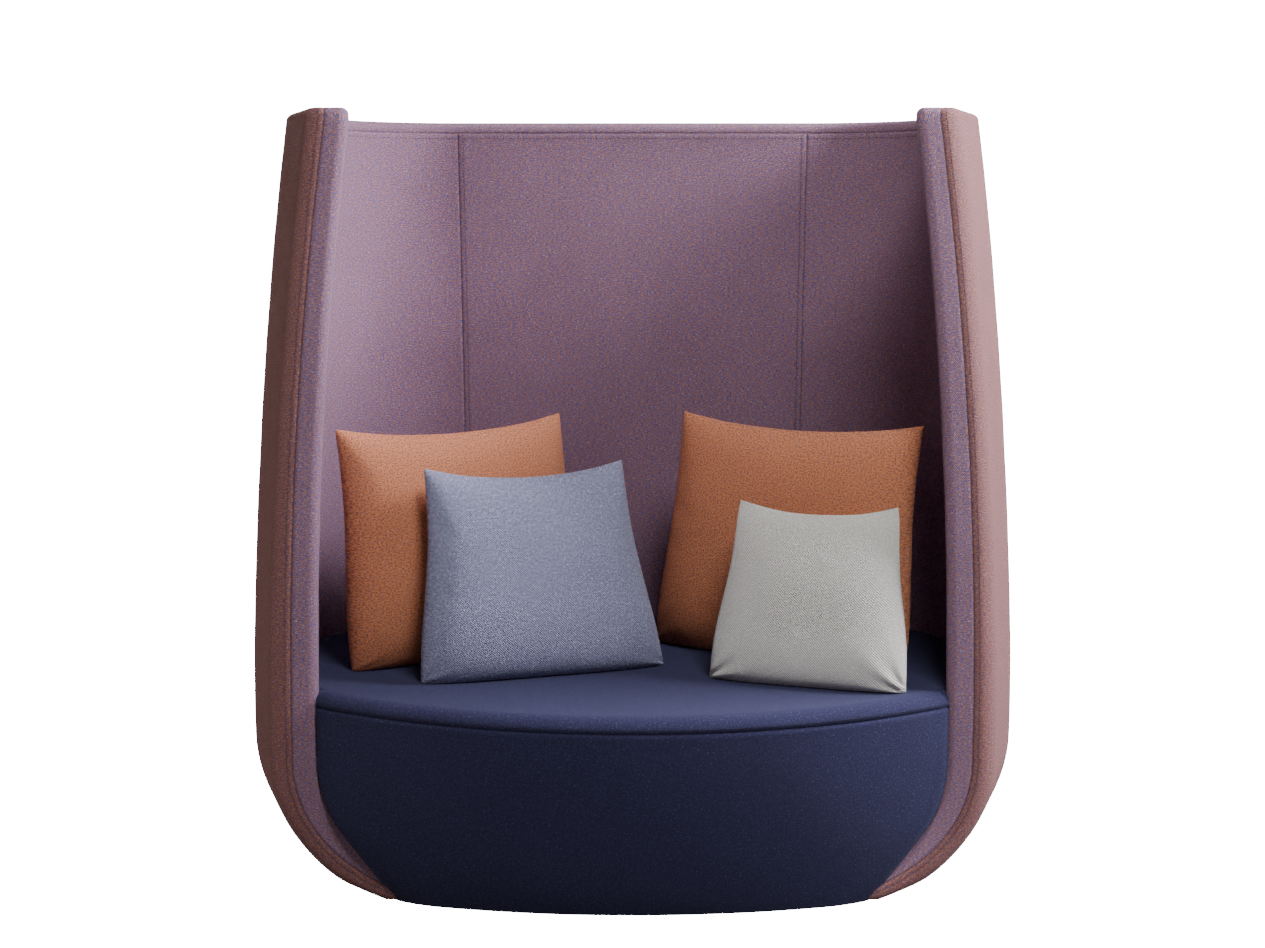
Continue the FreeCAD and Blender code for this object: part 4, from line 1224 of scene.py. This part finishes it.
        # Painted shade along the seam under the lip.
        painted_seam_shade = np.repeat(bell(drop, self.line)[:, None], whole.shape[1], axis=1)
        chart = np.stack([whole[..., 0], np.repeat(drop[:, None], whole.shape[1], axis=1)], axis=2)
        piece = Panel(whole, chart, painted_seam_shade).lay("seat_cover_cloth", self.thickness)
        dress(piece, self.cloth, "seat_fabric", "sofa", "seat_cover", "seat_foam")
        return grid[self.stitch_row], normals[self.stitch_row]

    def turned_in(self, grid: np.ndarray, moves: tuple[Place, ...]) -> np.ndarray:
        """Carry a panel's two side edges round and out of sight.

        Args:
            grid: Rows by columns of points.
            moves: Steps from the right-hand edge, each from the edge itself.

        Returns:
            The grid with columns added at both sides.
        """
        right = [grid[:, -1:] + np.array(move) for move in moves]
        left = [grid[:, :1] + np.array(move) * FLIP for move in moves[::-1]]
        return np.concatenate([*left, grid, *right], axis=1)

    def front_spot(self, x: float, inset: float, level: float) -> Place:
        """A point of the lip, at a distance behind the front arc."""
        radius = self.lip_radius - inset
        return x, self.lip_y + self.lip_radius - math.sqrt(radius ** 2 - x ** 2), level

    def fascia_y(self, x: np.ndarray, level: float) -> np.ndarray:
        """Front face of the fascia.

        Args:
            x: Places across it.
            level: Height.

        Returns:
            Places from front to back, on a smooth curve through the three levels.
        """
        total = np.zeros_like(x)
        for number, (height, lip, radius) in enumerate(self.fascia_levels):
            weight = 1.0
            for other, (other_height, _, _) in enumerate(self.fascia_levels):
                if other != number:
                    weight *= (level - other_height) / (height - other_height)
            total += weight * (lip + radius - np.sqrt(radius ** 2 - x ** 2))
        return total

    def fascia_edge(self, level: float) -> float:
        """Half width of the fascia at a height.

        Args:
            level: Height.

        Returns:
            The half width.
        """
        drop = self.form.belly - level
        bend = self.fascia_bend
        if drop <= 0:
            return self.fascia_half
        if drop <= bend * math.sin(self.fascia_turn):
            return self.fascia_half - bend + math.sqrt(bend ** 2 - drop ** 2)
        start = self.fascia_half - bend + bend * math.cos(self.fascia_turn)
        return start - (drop - bend * math.sin(self.fascia_turn)) * math.tan(self.fascia_turn)

    def fascia(self) -> None:
        """Lay the bowed cloth from the floor up to the seam under the lip."""
        floor = self.form.floor
        levels = floor + spread(self.seam - floor, self.near, self.fascia_rows, (False, True))
        edges = np.array([self.fascia_edge(level) for level in levels])
        across = self.shares(self.fascia_near)
        corner = np.clip((np.abs(across) - self.corner_from) / (1 - self.corner_from), 0.0, 1.0) ** 2
        rows = []
        for level, edge in zip(levels, edges):
            x = across * edge
            back = self.fascia_corner * corner * max(1 - level / self.corner_high, 0.0)
            rows.append(np.stack([x, self.fascia_y(x, level) + back, np.full_like(x, level)], axis=1))
        grid = np.array(rows)
        normals = grid_normals(grid)
        side = (1 - np.abs(across))[None, :] * edges[:, None]
        gap = levels[-1] - levels
        offset = seam_offset(gap, *self.seam_dip)[:, None]
        offset = offset + np.minimum(0, seam_offset(side, *self.fascia_dip))
        grid = rumple(grid + normals * offset[..., None], normals, *self.fascia_rumple)
        grid[0, :, 2] = levels[0]
        whole = self.turned_in(grid, self.fascia_tuck)
        whole = np.concatenate([whole, whole[-1:] + np.array(self.fascia_hem)])
        chart = np.stack([whole[..., 0], whole[..., 2]], axis=2)
        # Painted shade along the seam under the lip, and full painted shade on the turned-back hem row.
        painted_seam_shade = np.append(bell(gap, self.line), 1.0)
        painted_seam_shade = np.repeat(painted_seam_shade[:, None], whole.shape[1], axis=1)
        piece = Panel(whole, chart, painted_seam_shade).lay("fascia_cloth", self.thickness)
        dress(piece, self.cloth, "seat_fabric", "sofa", "fascia_cover", "fascia_foam")


# The cushions


STUFFING = {
    "quality": 4, "mass": 0.3, "tension_stiffness": 12, "compression_stiffness": 12, "shear_stiffness": 6,
    "bending_stiffness": 0.6, "use_pressure": True, "uniform_pressure_force": 4, "shrink_min": -0.015,
}


@dataclass
class ScatterCushion:
    """A loose cushion: two panels sewn together round the edge, blown up and slumped."""

    name: str
    slot: str
    foot_width: float
    top_width: float
    rise: float
    loft: float
    foot: tuple[float, float]
    yaw: float
    lean: float
    slump: float
    top_dip: float = 0.024
    plump: float = 1.1
    foot_fullness: float = 4.4
    top_fullness: float = 2.2
    side_edge: float = 0.55
    foot_dome: tuple[float, float] = (4, 0.5)
    top_dome: tuple[float, float] = (2, 0.6)
    side_pull: float = 0.007
    pull_band: tuple[float, float] = (0.68, 0.24)
    belly: float = 0.004
    belly_band: tuple[float, float] = (0.2, 0.22)
    pinch: float = 0.0035
    folds: int = 11
    fold_reach: float = 0.04
    fold_start: float = 0.015
    fold_edge: float = 0.02
    steps: tuple[int, int] = (64, 58)
    merge: float = 0.0004
    base: float = 0.4254
    sink: float = 0.012
    frames: int = 20
    cap: float = 0.008
    settle: float = 0.3
    hold: float = 0.35
    seed: float = 0.0

    def build(self, cloth: bpy.types.Material) -> None:
        """Model, inflate and dress the cushion.

        Args:
            cloth: Its material.
        """
        piece = self.sew()
        self.inflate(piece)
        self.chart(piece)
        finish_modifier(piece, "SUBSURF", levels=1, render_levels=1)
        self.crease(piece)
        self.stand(piece)
        pick(piece)
        bpy.ops.object.shade_smooth()
        body = f"cushion_{self.name}"
        dress(piece, cloth, self.slot, body, body + "_cover", body + "_pad")

    def outline(self, across: np.ndarray, up: np.ndarray) -> tuple[np.ndarray, np.ndarray]:
        """Flat shape of a panel.

        Args:
            across: Shares from -1 at the left edge to 1 at the right.
            up: Shares from -1 at the foot to 1 at the top.

        Returns:
            Places across and up, from the middle of the foot.
        """
        lift = (up + 1) / 2
        half = (self.foot_width + (self.top_width - self.foot_width) * lift) / 2
        place, width = self.belly_band
        half = half + self.belly * bell(lift - place, width) * np.abs(across)
        place, width = self.pull_band
        half = half - self.side_pull * bell(lift - place, width)
        x = across * half + self.slump * lift
        arch = self.top_dip * (1 - across ** 2) * np.clip(up, 0, 1) ** 2
        z = lift * (self.rise + self.sink) - arch
        return x, z

    def crown(self, across: np.ndarray, up: np.ndarray) -> np.ndarray:
        """Half thickness of the filled cushion.

        Args:
            across: Shares from -1 at the left edge to 1 at the right.
            up: Shares from -1 at the foot to 1 at the top.

        Returns:
            Half thicknesses.
        """
        lift = (up + 1) / 2
        upright = np.where(up < 0, dome(up, *self.foot_dome), dome(up, *self.top_dome))
        fullness = self.foot_fullness + (self.top_fullness - self.foot_fullness) * lift
        return self.loft * self.plump / 2 * dome(across, fullness, self.side_edge) * upright

    def sew(self) -> bpy.types.Object:
        """Shape a front panel from a grid, copy it for the back and merge the two along the edge.

        Returns:
            The closed cushion, upright at the origin.
        """
        columns, rows = self.steps
        clear_selection()
        bpy.ops.mesh.primitive_grid_add(x_subdivisions=columns, y_subdivisions=rows, size=2)
        piece = bpy.context.object
        piece.name = piece.data.name = f"cushion_{self.name}"
        with editing(piece):
            bpy.ops.transform.rotate(value=math.pi / 2, orient_axis="X", center_override=(0, 0, 0))
        across, _, up = np.clip(points_of(piece), -1, 1).T
        x, z = self.outline(across, up)
        place_points(piece, np.stack([x, -self.crown(across, up), z], axis=1))
        with editing(piece):
            bpy.ops.mesh.duplicate()
            bpy.ops.transform.resize(value=(1, -1, 1), center_override=(0, 0, 0))
            bpy.ops.mesh.select_all(action="SELECT")
            bpy.ops.mesh.remove_doubles(threshold=self.merge)
            bpy.ops.mesh.normals_make_consistent(inside=False)
        return piece

    def inflate(self, piece: bpy.types.Object) -> None:
        """Blow the cushion up with a short cloth run, and keep each point near its start.

        Args:
            piece: The closed cushion.
        """
        start = points_of(piece)
        pick(piece)
        cloth = piece.modifiers.new("stuffing", "CLOTH")
        for key, value in STUFFING.items():
            setattr(cloth.settings, key, value)
        cloth.settings.effector_weights.gravity = 0
        cloth.collision_settings.use_self_collision = False
        scene = bpy.context.scene
        for frame_number in range(1, self.frames + 1):
            scene.frame_set(frame_number)
        bpy.ops.object.modifier_apply(modifier=cloth.name)
        scene.frame_set(1)
        move = (points_of(piece) - start) * np.array([1.0, 1.0, self.settle])
        size = np.linalg.norm(move, axis=1, keepdims=True)
        lift = np.clip(start[:, 2:] / (self.hold * self.rise), 0, 1)
        limit = np.tanh(size / self.cap) * self.cap / np.maximum(size, TINY)
        place_points(piece, start + move * lift * limit)
        finish_modifier(piece, "SMOOTH", factor=0.5, iterations=7)

    def chart(self, piece: bpy.types.Object) -> None:
        """Map the weave straight across the panels, in metres.

        Args:
            piece: The cushion, upright at the origin.
        """
        mesh = piece.data
        while mesh.uv_layers:
            mesh.uv_layers.remove(mesh.uv_layers[0])
        layer = mesh.uv_layers.new(name="weave")
        for loop in mesh.loops:
            spot = mesh.vertices[loop.vertex_index].co
            layer.data[loop.index].uv = (spot.x + self.seed, spot.z)

    def crease(self, piece: bpy.types.Object) -> None:
        """Press small folds into the cloth, fanning out from the two lower corners.

        Args:
            piece: The cushion, upright at the origin.
        """
        places = points_of(piece)
        across = self.foot_width / 2 - np.abs(places[:, 0])
        up = places[:, 2] - self.sink
        away = np.hypot(across, up)
        fan = np.cos(self.folds * np.arctan2(up, across) + self.seed + np.sign(places[:, 0]))
        depth = fan * np.exp(-away / self.fold_reach) * np.clip(away / self.fold_start, 0, 1)
        depth = depth * np.clip(np.abs(places[:, 1]) / self.fold_edge, 0, 1)
        places[:, 1] += np.sign(places[:, 1]) * self.pinch * depth
        place_points(piece, places)

    def stand(self, piece: bpy.types.Object) -> None:
        """Flatten the foot, lean and turn the cushion and set it on the seat.

        Args:
            piece: The cushion, upright at the origin.
        """
        places = points_of(piece)
        a, b = self.yaw, self.lean
        y = places[:, 1] + places[:, 2] * math.tan(b)
        x = places[:, 0] * math.cos(a) - y * math.sin(a) + self.foot[0]
        y = places[:, 0] * math.sin(a) + y * math.cos(a) + self.foot[1]
        z = np.maximum(places[:, 2] * math.cos(b) - self.sink, 0.0) + self.base
        place_points(piece, np.stack([x, y, z], axis=1))


CUSHIONS = (
    (ScatterCushion("rust_left", "rust_fabric", foot_width=0.580, top_width=0.557, rise=0.510, loft=0.154,
                    foot=(-0.338, 0.052), yaw=math.radians(34), lean=math.radians(1.5), slump=-0.040,
                    seed=0.3), RUST_CLOTH),
    (ScatterCushion("rust_right", "rust_fabric", foot_width=0.587, top_width=0.570, rise=0.519, loft=0.158,
                    foot=(0.304, 0.022), yaw=math.radians(-29), lean=math.radians(1.5), slump=0.042,
                    seed=1.1), RUST_CLOTH),
    (ScatterCushion("blue", "blue_fabric", foot_width=0.522, top_width=0.439, rise=0.437, loft=0.130,
                    foot=(-0.178, -0.126), yaw=math.radians(17.5), lean=math.radians(8), slump=-0.024,
                    seed=2.2), BLUE_CLOTH),
    (ScatterCushion("grey", "grey_fabric", foot_width=0.409, top_width=0.333, rise=0.367, loft=0.114,
                    foot=(0.345, -0.212), yaw=math.radians(-17.5), lean=math.radians(8), slump=0.010,
                    steps=(50, 46), pinch=0.009, seed=3.7), GREY_CLOTH),
)


# Inside and underneath


@dataclass
class Carcassing:
    """The frame, fillings and feet that the upholstery covers."""

    boards: dict[Board, tuple[str, ...]] = field(default_factory=lambda: {
        Board.PLYWOOD: ("inner_skin", "fascia_board", "base_board", "seat_frame", "partition"),
        Board.TIMBER: ("back_rib", "corner_rib", "front_post", "top_rail", "seat_rail"),
        Board.FOAM: ("inner_foam", "outer_wadding", "seat_foam", "fascia_foam"),
        Board.FILL: ("cushion_",),
        Board.WEBBING: ("seat_webbing",),
        Board.DUST: ("dust_cover",),
        Board.PLASTIC: ("glides",),
        Board.STEEL: ("glide_screws",),
    })

    def dress(self, nodes: dict[str, bpy.types.Object]) -> None:
        """Give each inner node its material.

        Args:
            nodes: Frame nodes by name.
        """
        for finish in CARCASS:
            material = finish.material()
            for name, node in nodes.items():
                if name.startswith(self.boards[finish.board]):
                    node.data.materials.clear()
                    node.data.materials.append(material)


# The studio


@dataclass(frozen=True)
class Lamp:
    """A soft square lamp."""

    name: str
    place: Place
    target: Place
    size: float
    power: float
    colour: Colour

    def hang(self) -> None:
        """Put the lamp in its place and point it at its target."""
        clear_selection()
        bpy.ops.object.light_add(type="AREA", location=self.place)
        lamp = bpy.context.object
        lamp.name = "lamp_" + self.name
        lamp.data.size = self.size
        lamp.data.energy = self.power
        lamp.data.color = self.colour
        aim = Vector(self.target) - Vector(self.place)
        lamp.rotation_euler = aim.to_track_quat("-Z", "Y").to_euler()


@dataclass
class Studio:
    """White floor and backdrop, soft lamps and the camera."""

    lens: float = 50.51
    sensor: float = 36.0
    eye: Place = (0.0, -3.648, 1.353)
    tilt: float = math.radians(8.35)
    floor_size: float = 60.0
    floor_shade: float = 0.18
    floor_roughness: float = 0.9
    floor_glow: float = 23.8
    ambient: Colour = (0.060, 0.045, 0.037)
    white: Colour = (24.0, 24.0, 24.0)
    lamps: tuple[Lamp, ...] = (
        Lamp("key", (3.3, -0.25, 3.2), (-0.25, 0.05, 0.8), 1.5, 430.0, (1.0, 0.95, 0.99)),
        Lamp("overhead", (0.75, -2.1, 3.4), (0.0, 0.0, 0.6), 1.0, 100.0, (1.0, 0.98, 0.97)),
        Lamp("left", (-3.4, 0.2, 1.1), (-0.7, 0.0, 0.6), 1.2, 24.0, (1.0, 0.84, 0.76)),
        Lamp("fill", (-2.4, -3.8, 1.9), (0.0, 0.0, 0.8), 2.4, 13.0, (1.0, 0.86, 0.76)),
        Lamp("rear", (-1.2, 4.2, 2.0), (0.0, 0.4, 0.8), 2.4, 90.0, (1.0, 0.95, 0.92)),
    )

    def build(self) -> None:
        """Set the stage."""
        self.floor()
        self.backdrop()
        for lamp in self.lamps:
            lamp.hang()
        self.camera()

    def floor(self) -> None:
        """A wide pale floor."""
        clear_selection()
        bpy.ops.mesh.primitive_grid_add(x_subdivisions=4, y_subdivisions=4, size=self.floor_size)
        floor = bpy.context.object
        floor.name = "studio_floor"
        graph = Graph("studio_floor")
        graph.shader.inputs["Base Color"].default_value = (*[self.floor_shade] * 3, 1)
        graph.shader.inputs["Roughness"].default_value = self.floor_roughness
        graph.shader.inputs["Emission Color"].default_value = (1, 1, 1, 1)
        seen = graph.node("ShaderNodeLightPath").outputs["Is Camera Ray"]
        graph.feed(graph.shader.inputs["Emission Strength"], graph.maths("MULTIPLY", seen, self.floor_glow))
        floor.data.materials.append(graph.material)

    def backdrop(self) -> None:
        """A white world that lights the sofa only softly."""
        world = bpy.data.worlds.new("studio")
        bpy.context.scene.world = world
        world.use_nodes = True
        tree = world.node_tree
        ground = tree.nodes["Background"]
        path = tree.nodes.new("ShaderNodeLightPath")
        level = tree.nodes.new("ShaderNodeMix")
        level.data_type = "RGBA"
        level.clamp_result = False
        level.inputs[6].default_value = (*self.ambient, 1)
        level.inputs[7].default_value = (*self.white, 1)
        tree.links.new(path.outputs["Is Camera Ray"], level.inputs[0])
        tree.links.new(level.outputs[2], ground.inputs["Color"])

    def camera(self) -> None:
        """Put the camera where the photograph was taken."""
        clear_selection()
        bpy.ops.object.camera_add(location=self.eye, rotation=(math.pi / 2 - self.tilt, 0, 0))
        camera = bpy.context.object
        camera.data.sensor_width = self.sensor
        camera.data.sensor_fit = "HORIZONTAL"
        camera.data.lens = self.lens
        bpy.context.scene.camera = camera


def main() -> None:
    """Load the frame, build each sub-assembly and set the stage."""
    logging.basicConfig(level=logging.INFO, format="%(name)s %(message)s")
    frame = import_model()
    Carcassing().dress(frame["nodes"])
    form = ShellForm()
    ShellUpholstery(form, LINING_CLOTH.material(), SHADED_OUTER_CLOTH.material(), SHELL_THREAD.material()).build()
    SeatUpholstery(form, SEAT_CLOTH.material(), SEAT_THREAD.material()).build()
    cloths = {finish.name: finish.material() for finish in (RUST_CLOTH, BLUE_CLOTH, GREY_CLOTH)}
    for cushion, finish in CUSHIONS:
        cushion.build(cloths[finish.name])
    Studio().build()


if __name__ == "__main__":
    main()
